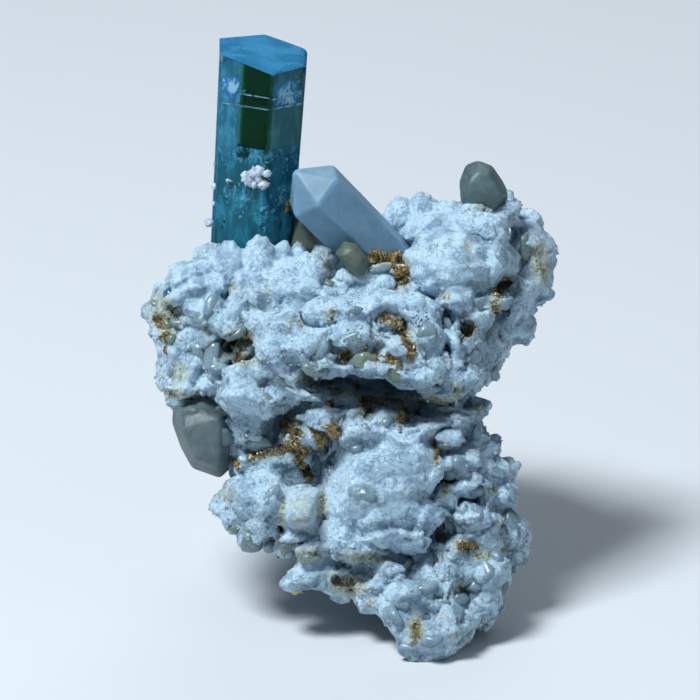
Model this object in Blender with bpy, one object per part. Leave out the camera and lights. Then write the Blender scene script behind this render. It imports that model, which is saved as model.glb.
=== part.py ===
"""Aquamarine crystal standing on its loose piece of white feldspar rock.

Everything is laid out in millimetres on a sloping sheet: u runs to the right, v runs up a plane
that is tipped back by LAYOUT_TILT, and w stands out of that plane towards the front.  The rock
is a union of lumps that are placed one by one on this sheet.  The crystals, the mica books and
the beads are separate pieces, each in its own pocket of the rock.
"""

import math
import random

import bmesh
import bpy
import numpy as np
from mathutils import Matrix, Vector, noise
from mathutils.bvhtree import BVHTree

# ---------------------------------------------------------------- driving dimensions (mm)
MM = 0.001
LAYOUT_TILT = math.radians(20.0)
FIT_GAP = 0.42             # clearance between a crystal and the pocket that holds it
CUTTER_MERGE = 0.45        # corners closer than this count as one on a pocket
CUTTER_REACH = 1.8         # most that a sharp corner of a pocket moves out, in gaps
BASE_CUT_DEPTH = 20.0      # how far below the floor the cut removes rock
PROBE_START = 40.0         # w in front of everything, where probes for a surface start

ROCK_VOXEL = 0.62          # grain of the first, fine union of the lumps
ROCK_FACES = 4500          # triangles kept on the rock before the pockets are cut
ROCK_ROUGHNESS = 0.36      # height of the uneven surface between the lumps
ROCK_ROUGH_SCALE = 2.6     # width of that unevenness

BERYL_FOOT = (-13.3, 30.0, 33.0)     # x, y, z of the prism's axis, deep in the rock
BERYL_HEAD = (-10.95, 30.0, 70.5)    # x, y, z of the middle of its top face
BERYL_TAPER = 0.92                   # width at the foot against the width at the head
# Corners of the six-sided prism round its axis, seen from above: x to the right, y to the back.
BERYL_CORNERS = ((1.3, -5.6), (5.5, -2.9), (5.6, 2.6), (0.2, 5.8), (-5.5, 3.2), (-5.4, -2.2))
BERYL_TOP_FALL = math.radians(4.0)   # the top face falls to the right
BERYL_CORNER_CUT = 1.1               # small sloping face on the front corner of the top

QUARTZ_ROOT = (8.3, 46.5, -12.5)     # u, v, w
QUARTZ_TIP = (-7.2, 61.8, -2.3)
QUARTZ_ACROSS = 7.4                  # across two opposite flats
QUARTZ_POINT_ANGLE = math.radians(42.0)
QUARTZ_TURN = math.radians(-12.0)

# ---------------------------------------------------------------- rock lumps on the layout sheet
# Each row is (u, v, w, half_u, half_v, half_w, roll in degrees).
CORE_LUMPS = (
    (-3, 41, -17, 17, 9.5, 17, 0), (12.5, 46.5, -17, 10, 8.5, 15, 15),
    (-12.2, 35.5, -17, 11, 9, 13, 0), (4, 21, -11.5, 12, 11.5, 11.5, -10),
    (11.5, 10, -9, 8, 8.5, 9, 20), (11.5, 24, -16, 8.5, 10, 12, 0),
    (0, 36, -29, 16, 15, 12, 0), (4, 24, -31, 14, 12, 12, 0),
    (-6, 27, -32, 8.5, 11, 12, 0), (12, 23, -31, 7.5, 11, 10, 0),
    (12, 49.5, -27, 9.5, 6.5, 9, 0), (20, 47.5, -20, 5, 6.5, 8, 0),
    (-13, 44, -21, 8, 6.5, 11, 10), (-1, 12.6, -11, 7.2, 3.6, 5, -10), (-7.5, 16.8, -10, 5, 3.6, 5, -15),
    (6, 16, -30, 12.5, 10.0, 12, 0), (-7.5, 17.6, -38.5, 7.8, 7.6, 7.6, 0),
    (9.5, 11, -17, 8.0, 7.5, 10, 0),
)
UPPER_LEFT_LUMPS = (
    (-20.2, 48.9, -9, 3.2, 2.0, 5, 22), (-19.6, 46.8, -7.5, 4.2, 1.7, 5, 22),
    (-18.5, 44.6, -6.5, 3.6, 1.6, 5, 20), (-17.9, 51.2, -10, 2.0, 2.0, 3.5, 30),
    (-21.4, 49.4, -11, 1.8, 1.5, 3, 0), (-7.0, 46.6, -4.5, 4.3, 4.4, 5, -35),
    (-12.5, 45.6, -4.0, 3.8, 3.6, 5, 0), (-15.6, 42.2, -4.5, 3.2, 2.3, 5, -20),
    (-11.0, 42.0, -3.0, 3.0, 3.0, 4, 0), (-20.3, 38.0, -9.5, 4.1, 4.2, 6, 0),
    (-22.3, 36.8, -11, 2.5, 3.3, 4, 0), (-20.2, 41.4, -9.5, 4.0, 2.9, 5, 0),
    (-13.0, 36.3, -3.5, 4.2, 1.5, 5, 0), (-13.0, 32.8, -4.5, 4.8, 3.0, 5.5, -35),
    (-21.0, 34.2, -10, 3.3, 1.9, 5, 0), (-21.6, 32.6, -11, 2.0, 1.6, 4, 0),
    (-8.0, 35.5, -2.8, 2.6, 1.6, 4, -15), (-8.5, 38.4, -1.5, 3.4, 2.6, 4, -30),
    (-9.8, 32.3, -4.0, 2.2, 1.6, 4, -20), (-6.3, 33.4, -3.4, 2.5, 1.2, 4, -10),
    (-7.5, 41.5, -1.5, 3.0, 2.8, 4.5, 0), (-4.0, 39.8, -0.6, 3.3, 3.2, 4, 0),
    (-12.4, 29.2, -10.0, 4.4, 3.6, 6, 0), (-23.8, 44.4, -10.5, 3.2, 2.2, 4, 20),
    (-23.2, 41.4, -10.5, 2.6, 2.3, 4, -40), (-23.4, 46.6, -11, 2.2, 1.6, 3, 30),
    (-14.4, 26.2, -11, 2.4, 2.8, 5, 0), (-23.0, 39.2, -11, 1.6, 2.0, 4, 0),
)
UPPER_FRONT_LUMPS = (
    (-1.0, 43.6, -1.6, 4.2, 2.6, 4.5, 10), (3.8, 44.9, -1.8, 3.8, 2.2, 4.5, 15),
    (0.4, 40.8, 0.0, 3.4, 2.2, 3.6, 0), (3.0, 37.2, -0.4, 3.4, 1.9, 3.6, 0),
    (-3.3, 36.9, -1.0, 3.6, 1.7, 4, -10), (7.2, 36.0, -1.2, 3.6, 2.1, 4, -5),
    (6.0, 39.5, 0.2, 2.8, 1.8, 3.3, 0), (9.6, 41.0, -0.4, 2.7, 3.0, 3.8, 0),
    (10.0, 36.8, -1.8, 3.2, 2.6, 4, 0), (8.7, 44.3, -1.7, 3.2, 2.1, 4, 0),
    (-0.5, 47.7, -4.5, 1.9, 1.4, 3, 0), (1.6, 47.7, -4.3, 1.8, 1.5, 3, 0),
    (4.1, 47.0, -4.2, 2.0, 1.5, 3, 0), (-2.7, 46.2, -3.6, 1.5, 1.4, 3, 0),
    (-4.4, 43.6, -2.4, 2.2, 2.2, 3.5, 0), (3.8, 49.0, -5.6, 2.6, 1.2, 3.2, 8),
    (6.8, 47.6, -5.4, 2.3, 2.2, 3.4, 0),
)
UPPER_RIGHT_LUMPS = (
    (16.2, 53.8, -9, 4.2, 3.5, 6, 25), (10.4, 53.8, -12, 4.8, 3.2, 7, 0),
    (17.6, 50.0, -8.5, 3.6, 3.5, 6, 0), (16.9, 56.6, -12, 3.2, 2.1, 4, 0),
    (20.2, 57.2, -13, 2.0, 2.7, 3.5, 0), (5.6, 55.8, -26, 2.4, 2.4, 5, 0),
    (9.8, 56.3, -25, 2.5, 3.0, 5, 0), (13.4, 56.0, -21, 2.8, 2.5, 5, 0),
    (7.6, 55.7, -26, 1.8, 2.2, 4, 0), (13.5, 45.4, -2.8, 3.3, 1.8, 5, 15),
    (15.8, 43.4, -4.4, 2.8, 2.0, 5, 20), (17.4, 40.7, -6.5, 3.0, 3.2, 5, 0),
    (14.0, 40.0, -3.4, 3.0, 3.0, 5, 0), (13.4, 36.5, -4.0, 3.5, 3.0, 5, 0),
    (16.8, 36.4, -7.5, 2.1, 2.3, 5, 20), (20.5, 45.4, -11, 2.8, 4.0, 6, -20),
    (22.8, 52.5, -17, 3.4, 3.5, 5, 0), (24.2, 50.9, -19, 3.2, 3.8, 5, 0),
    (22.6, 54.8, -19, 2.4, 2.2, 4, -30),
    (23.2, 47.6, -16, 3.4, 2.9, 6, 20), (20.6, 42.4, -12, 2.8, 3.0, 5, 30),
    (18.1, 37.8, -10, 1.8, 3.0, 4, -25), (11.3, 33.7, -4.6, 3.2, 1.4, 5, 0),
)
LOWER_LUMPS = (
    (3.5, 22.4, -6.2, 8.6, 8.0, 7.2, 0), (0.4, 28.6, -3.4, 2.8, 1.9, 3.6, 10),
    (6.0, 28.4, -4.0, 4.5, 1.9, 4, -10), (9.0, 24.5, -4.0, 3.0, 3.1, 4.8, 0),
    (5.0, 15.8, -3.2, 5.0, 1.8, 4.6, 0), (-1.5, 15.2, -3.7, 2.7, 2.2, 4.5, 0),
    (-5.8, 19.0, -3.4, 2.9, 3.4, 4.6, 0), (-10.2, 19.9, -5.6, 2.3, 4.0, 5, 0),
    (-13.2, 20.4, -7.4, 3.5, 2.8, 4.5, -12), (-16.0, 19.4, -8.5, 1.8, 1.7, 3, 0),
    (-11.6, 23.3, -7.6, 3.5, 1.9, 4.5, 15), (-10.8, 16.5, -6.6, 2.3, 1.9, 4, 0),
    (-14.6, 17.3, -8.0, 2.1, 1.4, 3, -25), (-5.0, 13.8, -4.6, 2.8, 1.9, 3.5, 0),
    (-4.7, 10.3, -5.4, 3.8, 2.1, 3.4, 0), (-0.3, 9.6, -6.6, 3.4, 2.2, 4, 0),
    (1.5, 12.4, -6.8, 3.7, 1.9, 4, 0), (5.3, 11.2, -2.9, 2.0, 1.8, 3, 0),
    (3.0, 9.0, -3.8, 2.1, 1.8, 3, 0), (2.6, 7.0, -4.4, 2.3, 1.8, 3, 0),
    (7.5, 8.4, -2.3, 3.3, 2.5, 4, 0), (6.8, 5.0, -2.6, 3.0, 3.9, 4.4, 28),
    (9.4, 2.6, -1.9, 3.9, 3.6, 4.6, 0), (12.6, 4.8, -3.0, 3.7, 3.7, 5, 0),
    (16.2, 6.3, -6.6, 3.0, 2.9, 5, 0), (17.4, 11.0, -6.6, 3.9, 3.1, 6, 20),
    (12.3, 10.6, -3.4, 2.5, 2.2, 4, 0), (20.3, 15.6, -12, 2.7, 4.4, 5, 10),
    (16.0, 15.4, -7.6, 3.2, 2.5, 5, 0), (15.0, 18.7, -6.6, 3.3, 2.0, 5, 0),
    (19.2, 20.8, -11, 2.6, 2.8, 5, 0), (19.9, 23.7, -12, 1.7, 2.4, 4, 0),
    (17.4, 24.0, -9.6, 2.8, 2.2, 5, 0), (13.9, 25.0, -6.6, 2.8, 2.4, 5, 0),
    (16.0, 28.5, -9.6, 2.0, 2.4, 5, 0), (12.9, 30.3, -6.6, 3.1, 1.5, 5, 0),
    (9.9, 29.2, -5.4, 2.5, 1.6, 4, 0), (16.0, 32.0, -10, 2.0, 1.6, 3.5, 0),
    (-3.8, 30.7, -4.0, 3.3, 1.8, 4, 0), (0.0, 31.2, -4.6, 2.2, 1.3, 4, 0),
    (4.4, 30.7, -5.0, 2.6, 1.3, 4, 0), (-8.6, 25.6, -7.6, 4.0, 1.7, 4, 0),
    (13.2, 14.0, -6.4, 1.7, 1.6, 3.5, 0),
)
BACK_LUMPS = (
    (-13.5, 48.5, -28, 7.5, 5.2, 8, 8), (-4, 49.5, -31, 6.5, 4.4, 7.5, -8), (5, 51.5, -34, 6.5, 4, 6.5, 10),
    (-15, 39.0, -30, 5, 5.0, 6, 0), (-9, 33.0, -37, 6, 5.0, 5, 20), (2, 40.0, -38, 8, 6.0, 6, 0),
    (11, 38.0, -35, 7, 6.0, 6, -15), (11.5, 31.0, -29, 5, 6.0, 6, 0), (0, 27.0, -40, 7, 6.0, 5, 10),
    (10, 25.0, -38, 6, 6.0, 5, 0), (17, 43.0, -25, 5, 5.0, 6, 20), (-8, 21.0, -33, 4, 5.0, 6, 0),
)
# Smooth rounded knobs, in the same form as the lumps.
ROCK_DOMES = (
    (-14.9, 50.0, -6.5, 2.3, 2.5, 2.6, 0), (-11.5, 50.5, -6.5, 2.5, 2.6, 2.8, 0),
    (-8.6, 51.0, -7.2, 1.4, 1.6, 2.0, 0), (-6.3, 51.3, -9.0, 1.3, 1.2, 2.0, 0),
    (-3.5, 50.8, -8.0, 1.7, 1.5, 2.5, 0), (-5.2, 48.9, -5.5, 2.7, 2.3, 3.0, 0),
    (-17.2, 44.2, -4.6, 1.5, 2.2, 3.0, 0), (12.4, 49.6, -6.5, 5.6, 4.8, 6.0, 0),
    (-12.1, 15.2, -8.0, 1.9, 1.5, 2.4, 0), (-8.3, 14.4, -6.6, 1.2, 1.4, 2.0, 0),
    (-7.3, 9.7, -5.6, 1.6, 1.1, 1.8, 0), (11.2, 2.1, -2.4, 2.4, 1.7, 3.4, 0),
)
# Hollows that are cut out of the joined lumps.
ROCK_PITS = (
    (10.9, 13.7, -1.0, 1.6, 2.8, 4.4, -8), (-14.0, 40.0, -0.5, 2.2, 2.0, 4.0, 40),
    (-0.4, 10.2, -2.8, 2.2, 1.2, 2.4, 0), (-7.0, 29.0, -1.8, 1.6, 2.2, 3.0, 0),
    (14.4, 41.8, -0.6, 1.6, 1.4, 3.0, 45), (19.3, 47.0, -6.0, 2.6, 0.9, 3.0, 25),
    (2.0, 33.2, -1.0, 9.0, 0.9, 4.0, -6),
)

# ---------------------------------------------------------------- mica books on the sheet
# Each row is (name, u, v, sink, half width, plates, roll, lean): a stack of thin six-sided plates
# whose middle lies sink below the rock's surface.
MICA_BOOKS = (
    ("mica_notch", 4.4, 50.3, 0.2, 2.1, 3, 10, 60), ("mica_notch_side", 6.5, 48.4, 0.2, 1.5, 3, 80, 30),
    ("mica_shelf", 5.4, 42.7, 0.2, 1.5, 3, -15, 55), ("mica_shelf_end", 7.5, 39.9, 0.2, 1.4, 3, -80, 35),
    ("mica_vein", 2.4, 39.6, 0.2, 1.7, 3, -35, 60), ("mica_crevice", 1.8, 32.3, 0.2, 1.2, 3, 70, 40),
    ("mica_book", -3.3, 28.2, 0.1, 2.0, 3, 32, 35), ("mica_book_left", -8.0, 29.5, 0.1, 1.2, 3, 10, 45),
    ("mica_star", -7.1, 26.8, 0.1, 1.8, 3, -15, 50), ("mica_stick", -5.6, 23.6, 0.0, 1.4, 3, -66, 20),
    ("mica_pocket", -13.6, 41.0, 0.1, 1.5, 3, 35, 30), ("mica_edge", -23.9, 43.7, 0.3, 1.8, 3, 25, 40),
    ("mica_edge_low", -22.8, 41.3, 0.2, 1.5, 3, -50, 40), ("mica_lower", 14.6, 14.6, 0.2, 1.5, 3, 5, 55),
)
MICA_HALF_PLATE = 0.34     # half the thickness of one plate
MICA_STEP = 0.55           # distance from plate to plate, so that neighbours overlap
SMALL_CRYSTAL_FACES = 90
OUTLINED_FACES = 110
CRYSTAL_COLOURS = {
    "smoky": (0.16, 0.20, 0.18), "olive": (0.13, 0.16, 0.11), "quartz": (0.17, 0.22, 0.25),
    "blue": (0.03, 0.15, 0.28),
}

SMALL_CRYSTALS = (
    # name, u, v, w, half_u, half_v, half_w, roll, number of flats
    ("olive_quartz_front", 0.3, 50.3, -2.4, 2.1, 2.05, 2.2, 20, 10),
    ("olive_quartz_cleft", -5.4, 53.6, -12.5, 2.0, 2.6, 2.4, -20, 12),
    ("blue_beryl_small", -22.4, 46.7, -8.0, 0.8, 0.95, 1.0, 10, 8),
    ("olive_quartz_shelf", 4.2, 36.9, 1.4, 2.4, 1.7, 1.9, 10, 12),
    ("quartz_left_edge", -19.2, 38.8, -5.6, 1.8, 2.0, 1.9, 20, 10),
)
# Larger quartz pieces, each given by its outline on the sheet, its middle w and its half depth.
KNOB_OUTLINE = ((13.8, 60.6), (14.6, 62.7), (16.2, 63.3), (18.1, 62.6), (19.6, 60.4), (20.4, 58.6),
                (18.8, 55.4), (15.0, 55.6), (13.9, 58.2))
KNOB_DEPTH = (-12.0, 3.2)
NODULE_OUTLINE = ((-15.2, 23.9), (-16.4, 22.8), (-18.0, 23.5), (-20.0, 24.1), (-21.5, 26.8), (-22.6, 30.0),
                  (-22.4, 32.6), (-19.0, 34.0), (-15.2, 32.2), (-14.0, 28.6))
NODULE_DEPTH = (-9.6, 4.8)
FACET_INSET = (0.62, 0.5)      # size and depth of the front and back faces against the outline's
ROSETTE_LOBES = (
    # du, dv from the rosette's middle, half width, half height
    (-0.85, 0.0, 0.78, 0.85), (-0.35, 0.55, 0.62, 0.6), (0.35, 0.6, 0.6, 0.55),
    (-0.3, -0.45, 0.6, 0.5), (0.95, 0.45, 0.42, 0.5), (0.62, -0.75, 0.5, 0.62), (0.1, 0.05, 0.7, 0.6),
)
ROSETTE_PLACE = (-11.45, 60.4)
ROSETTE_FINENESS = 1
ROSETTE_RISE = 0.35        # how far a lobe's middle stands in front of the prism
BEADS = (
    # name, u, v, radius
    ("albite_bead_low", -17.85, 55.2, 0.72), ("albite_bead_side", -17.15, 59.8, 0.45),
    ("albite_bead_front", -15.35, 60.5, 0.42),
)
BEAD_EDGE = -16.6          # u of the prism's left edge, which the outer beads touch


# ---------------------------------------------------------------- layout and mesh helpers
def place(u, v, w):
    """World position, in metres, of a point of the sloping sheet."""
    y = v * math.sin(LAYOUT_TILT) - w * math.cos(LAYOUT_TILT)
    z = v * math.cos(LAYOUT_TILT) + w * math.sin(LAYOUT_TILT)
    return Vector((u, y, z)) * MM


def sheet_frame(u, v, w):
    """Matrix that carries millimetres on the sheet, measured from one point, to world metres."""
    right = Vector((1, 0, 0))
    up = Vector((0, math.sin(LAYOUT_TILT), math.cos(LAYOUT_TILT)))
    out = Vector((0, -math.cos(LAYOUT_TILT), math.sin(LAYOUT_TILT)))
    frame = Matrix((right, up, out)).transposed().to_4x4()
    return Matrix.Translation(place(u, v, w)) @ frame @ Matrix.Scale(MM, 4)


def new_object(name, mesh):
    """Link a mesh to the scene as a named object."""
    obj = bpy.data.objects.new(name, mesh)
    bpy.context.scene.collection.objects.link(obj)
    return obj


def mesh_from_bmesh(name, bm):
    """Finish a bmesh as a mesh with its faces pointing out."""
    bmesh.ops.recalc_face_normals(bm, faces=bm.faces)
    mesh = bpy.data.meshes.new(name)
    bm.to_mesh(mesh)
    bm.free()
    return mesh


def hull_mesh(name, points):
    """Convex hull of some points as a mesh."""
    bm = bmesh.new()
    for point in points:
        bm.verts.new(point)
    hull = bmesh.ops.convex_hull(bm, input=bm.verts)
    loose = [item for item in hull["geom_interior"] if isinstance(item, bmesh.types.BMVert)]
    bmesh.ops.delete(bm, geom=loose, context="VERTS")
    bmesh.ops.remove_doubles(bm, verts=bm.verts, dist=0.00001)
    return mesh_from_bmesh(name, bm)


def apply_modifiers(obj):
    """Replace an object's mesh by what its modifiers make of it."""
    graph = bpy.context.evaluated_depsgraph_get()
    mesh = bpy.data.meshes.new_from_object(obj.evaluated_get(graph))
    obj.modifiers.clear()
    obj.data = mesh


def boolean(obj, other, operation, solver="EXACT"):
    """Join or cut one object with another and remove the other."""
    modifier = obj.modifiers.new("boolean", "BOOLEAN")
    modifier.operation = operation
    modifier.solver = solver
    modifier.object = other
    apply_modifiers(obj)
    bpy.data.objects.remove(other)


def keep_largest_body(obj):
    """Drop crumbs that a cut has set free."""
    bm = bmesh.new()
    bm.from_mesh(obj.data)
    bmesh.ops.triangulate(bm, faces=bm.faces)
    unseen = set(bm.verts)
    bodies = []
    while unseen:
        body = [unseen.pop()]
        for vert in body:
            for edge in vert.link_edges:
                other = edge.other_vert(vert)
                if other in unseen:
                    unseen.remove(other)
                    body.append(other)
        bodies.append(body)
    bodies.sort(key=len)
    for body in bodies[:-1]:
        bmesh.ops.delete(bm, geom=body, context="VERTS")
    obj.data = mesh_from_bmesh(obj.name, bm)


def material(name, colour, roughness, metallic=0.0, transmission=0.0):
    """A plain finish in the piece's own colour."""
    mat = bpy.data.materials.new(name)
    mat.use_nodes = True
    shader = mat.node_tree.nodes["Principled BSDF"]
    shader.inputs["Base Color"].default_value = (*colour, 1.0)
    shader.inputs["Roughness"].default_value = roughness
    shader.inputs["Metallic"].default_value = metallic
    shader.inputs["Transmission Weight"].default_value = transmission
    mat.diffuse_color = (*colour, 1.0)
    return mat


# ---------------------------------------------------------------- lumps
def unit_directions(subdivisions):
    """Points and faces of a fine ball of radius one."""
    bm = bmesh.new()
    bmesh.ops.create_icosphere(bm, subdivisions=subdivisions, radius=1.0)
    points = np.array([vert.co[:] for vert in bm.verts])
    faces = [[vert.index for vert in face.verts] for face in bm.faces]
    bm.free()
    return points, faces


def chipped_ball(points, seed, flats, depth):
    """Ball that is cut by flat chips at random angles, as broken feldspar is."""
    rng = random.Random(seed)
    radius = np.ones(len(points))
    for _ in range(flats):
        normal = np.array([rng.gauss(0, 1) for _ in range(3)])
        normal /= np.linalg.norm(normal)
        reach = 1.0 - depth * rng.uniform(0.35, 1.0)
        facing = points @ normal
        hit = facing > reach
        radius[hit] = np.minimum(radius[hit], reach / facing[hit])
    return points * radius[:, None]


def add_lump(bm, ball, row, seed, flats, depth):
    """Add one lump of a table to the rock."""
    points, faces = ball
    u, v, w, half_u, half_v, half_w, roll = row
    shape = chipped_ball(points, seed, flats, depth)
    spin = Matrix.Rotation(math.radians(roll), 4, "Z")
    size = Matrix.Diagonal((half_u, half_v, half_w, 1.0))
    carry = sheet_frame(u, v, w) @ spin @ size
    verts = [bm.verts.new(carry @ Vector(point)) for point in shape]
    for face in faces:
        bm.faces.new([verts[index] for index in face])


def lumps_object(name, rows, flats, depth, seed):
    """One object that holds every lump of a table as its own closed shell."""
    ball = unit_directions(4)
    bm = bmesh.new()
    for number, row in enumerate(rows):
        add_lump(bm, ball, row, seed + number, flats, depth)
    return new_object(name, mesh_from_bmesh(name, bm))


def merge_shells(obj, voxel):
    """Melt overlapping shells into one skin."""
    remesh = obj.modifiers.new("merge", "REMESH")
    remesh.mode = "VOXEL"
    remesh.voxel_size = voxel * MM
    apply_modifiers(obj)


def roughen(obj):
    """Uneven, blocky surface between the lumps."""
    bm = bmesh.new()
    bm.from_mesh(obj.data)
    bm.normal_update()
    scale = 1.0 / (ROCK_ROUGH_SCALE * MM)
    for vert in bm.verts:
        wide = noise.turbulence(vert.co * scale * 0.5, 2, True)
        fine = noise.cell(vert.co * scale) - 0.5
        vert.co += vert.normal * (wide - 0.7 + 0.5 * fine) * ROCK_ROUGHNESS * MM
    obj.data = mesh_from_bmesh(obj.name, bm)


def thin_out(obj, faces):
    """Keep the form with fewer triangles."""
    decimate = obj.modifiers.new("thin", "DECIMATE")
    decimate.ratio = faces / sum(len(face.vertices) - 2 for face in obj.data.polygons)
    decimate.use_collapse_triangulate = True
    apply_modifiers(obj)


def make_rock():
    """The feldspar rock before any crystal's pocket is cut."""
    groups = (UPPER_LEFT_LUMPS, UPPER_FRONT_LUMPS, UPPER_RIGHT_LUMPS, LOWER_LUMPS)
    rock = lumps_object("matrix", [row for group in groups for row in group], 16, 0.34, 11)
    broken = lumps_object("broken", CORE_LUMPS + BACK_LUMPS, 30, 0.42, 211)
    boolean_free_join(rock, broken)
    domes = lumps_object("domes", ROCK_DOMES, 0, 0.0, 900)
    boolean_free_join(rock, domes)
    merge_shells(rock, ROCK_VOXEL)
    for number, row in enumerate(ROCK_PITS):
        pit = lumps_object("pit", [row], 10, 0.25, 700 + number)
        boolean(rock, pit, "DIFFERENCE")
    merge_shells(rock, ROCK_VOXEL)
    roughen(rock)
    keep_largest_body(rock)
    thin_out(rock, ROCK_FACES)
    cut_base(rock)
    keep_largest_body(rock)
    return rock


def boolean_free_join(obj, other):
    """Put the shells of two objects into one mesh."""
    bm = bmesh.new()
    bm.from_mesh(obj.data)
    bm.from_mesh(other.data)
    obj.data = mesh_from_bmesh(obj.name, bm)
    bpy.data.objects.remove(other)


def cut_base(rock):
    """Saw the rock off flat where it stands."""
    bm = bmesh.new()
    bmesh.ops.create_cube(bm, size=1.0)
    bmesh.ops.scale(bm, vec=(0.2, 0.2, BASE_CUT_DEPTH * MM), verts=bm.verts)
    bmesh.ops.translate(bm, vec=(0, 0, -0.5 * BASE_CUT_DEPTH * MM), verts=bm.verts)
    boolean(rock, new_object("base_cut", mesh_from_bmesh("base_cut", bm)), "DIFFERENCE")


# ---------------------------------------------------------------- crystals
def make_beryl():
    """The six-sided aquamarine prism with its flat, slightly falling top."""
    foot = Vector(BERYL_FOOT) * MM
    head = Vector(BERYL_HEAD) * MM
    points = []
    for x, y in BERYL_CORNERS:
        points.append(foot + Vector((x, y, 0)) * BERYL_TAPER * MM)
        drop = x * math.tan(BERYL_TOP_FALL)
        if y == min(corner[1] for corner in BERYL_CORNERS):
            points.append(head + Vector((x, y, -drop - BERYL_CORNER_CUT)) * MM)
            points.append(head + Vector((x - 1.5, y + 1.9, -drop)) * MM)
            points.append(head + Vector((x + 1.6, y + 1.8, -drop)) * MM)
        else:
            points.append(head + Vector((x, y, -drop)) * MM)
    beryl = new_object("aquamarine", hull_mesh("aquamarine", points))
    beryl.data.materials.append(material("aquamarine", (0.09, 0.36, 0.47), 0.05, transmission=0.9))
    return beryl


def make_quartz_point():
    """The frosted quartz crystal that leans in front of the prism."""
    root = Vector(place(*QUARTZ_ROOT))
    tip = Vector(place(*QUARTZ_TIP))
    axis = tip - root
    front = (place(0, 0, 1) - place(0, 0, 0)).normalized()
    side = axis.cross(front).normalized()
    front = side.cross(axis).normalized()
    corner = 0.5 * QUARTZ_ACROSS / math.cos(math.radians(30)) * MM
    point_height = 0.5 * QUARTZ_ACROSS / math.tan(QUARTZ_POINT_ANGLE) * MM
    shoulder = tip - axis.normalized() * point_height
    points = [tip]
    for number in range(6):
        angle = number * math.pi / 3 + QUARTZ_TURN
        spoke = (front * math.cos(angle) + side * math.sin(angle)) * corner
        points.append(root + spoke * 0.94)
        points.append(shoulder + spoke)
    quartz = new_object("quartz_point", hull_mesh("quartz_point", points))
    quartz.data.materials.append(material("frosted_quartz", (0.27, 0.37, 0.48), 0.4, transmission=0.5))
    return quartz


def make_small_crystals():
    """Quartz lumps and the small blue beryl, with worn flat faces."""
    ball = unit_directions(2)
    made = []
    for number, (name, *row, flats) in enumerate(SMALL_CRYSTALS):
        bm = bmesh.new()
        add_lump(bm, ball, row, 300 + number, flats, 0.3)
        obj = new_object(name, mesh_from_bmesh(name, bm))
        thin_out(obj, SMALL_CRYSTAL_FACES)
        obj.data.materials.append(material(name, CRYSTAL_COLOURS[name.split("_")[0]], 0.35, 0, 0.4))
        made.append(obj)
    return made


def make_outlined_quartz(name, outline, depth, colour):
    """Quartz lump with flat front and back faces round a given outline."""
    middle, half_depth = depth
    centre_u = sum(point[0] for point in outline) / len(outline)
    centre_v = sum(point[1] for point in outline) / len(outline)
    points = []
    size, reach = FACET_INSET
    for number, (u, v) in enumerate(outline):
        wobble = 0.12 * half_depth * math.cos(2.4 * number)
        points.append(place(u, v, middle + wobble))
        for side in (-1, 1):
            for inset, step in ((0.5 * (1 + size), reach), (size, 1.0)):
                inner_u = centre_u + (u - centre_u) * inset
                inner_v = centre_v + (v - centre_v) * inset
                points.append(place(inner_u, inner_v, middle + side * step * half_depth + wobble))
    obj = new_object(name, hull_mesh(name, points))
    thin_out(obj, OUTLINED_FACES)
    obj.data.materials.append(material(name, CRYSTAL_COLOURS[colour], 0.35, 0, 0.4))
    return obj


def front_w(tree, u, v):
    """The w where a piece's front surface lies under a place of the sheet."""
    inward = (place(0, 0, -1) - place(0, 0, 0)).normalized()
    hit = tree.ray_cast(place(u, v, PROBE_START), inward)[0]
    return PROBE_START - (hit - place(u, v, PROBE_START)).length / MM


def make_mica_book(row, seed, rock_tree):
    """A stack of thin six-sided plates, each a little turned and shifted."""
    name, u, v, sink, half, plates, roll, lean = row
    rng = random.Random(seed)
    carry = sheet_frame(u, v, front_w(rock_tree, u, v) - sink) @ Matrix.Rotation(math.radians(roll), 4, "Z")
    carry = carry @ Matrix.Rotation(math.radians(lean), 4, "X")
    book = None
    for plate in range(plates):
        turn = rng.uniform(-0.25, 0.25)
        long_side = half * rng.uniform(0.78, 1.0)
        short_side = half * rng.uniform(0.5, 0.66)
        middle = (plate - 0.5 * (plates - 1)) * MICA_STEP
        shift = (rng.uniform(-0.16, 0.16) * half, rng.uniform(-0.12, 0.12) * half)
        points = []
        for number in range(6):
            angle = number * math.pi / 3 + turn
            x = long_side * math.cos(angle) + shift[0]
            y = short_side * math.sin(angle) + shift[1]
            for side in (-1, 1):
                points.append(carry @ Vector((x, y, middle + side * MICA_HALF_PLATE)))
        leaf = new_object(name, hull_mesh(name, points))
        if book is None:
            book = leaf
        else:
            boolean(book, leaf, "UNION")
    book.name = name
    keep_largest_body(book)
    book.data.materials.append(material(name, (0.23, 0.14, 0.045), 0.35, 0.2))
    return book


def make_rosette(beryl_tree):
    """The white albite cluster that grew on the front of the prism."""
    u, v = ROSETTE_PLACE
    ball = unit_directions(ROSETTE_FINENESS)
    rosette = None
    for number, (du, dv, half_u, half_v) in enumerate(ROSETTE_LOBES):
        lobe_w = front_w(beryl_tree, u + du, v + dv) + ROSETTE_RISE
        bm = bmesh.new()
        row = (u + du, v + dv, lobe_w, half_u, half_v, 0.7, 0)
        add_lump(bm, ball, row, 60 + number, 5, 0.18)
        lobe = new_object("albite_rosette", mesh_from_bmesh("albite_rosette", bm))
        if rosette is None:
            rosette = lobe
        else:
            boolean(rosette, lobe, "UNION")
    rosette.name = "albite_rosette"
    keep_largest_body(rosette)
    rosette.data.materials.append(material("albite_rosette", (0.62, 0.70, 0.78), 0.6))
    return rosette


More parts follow.
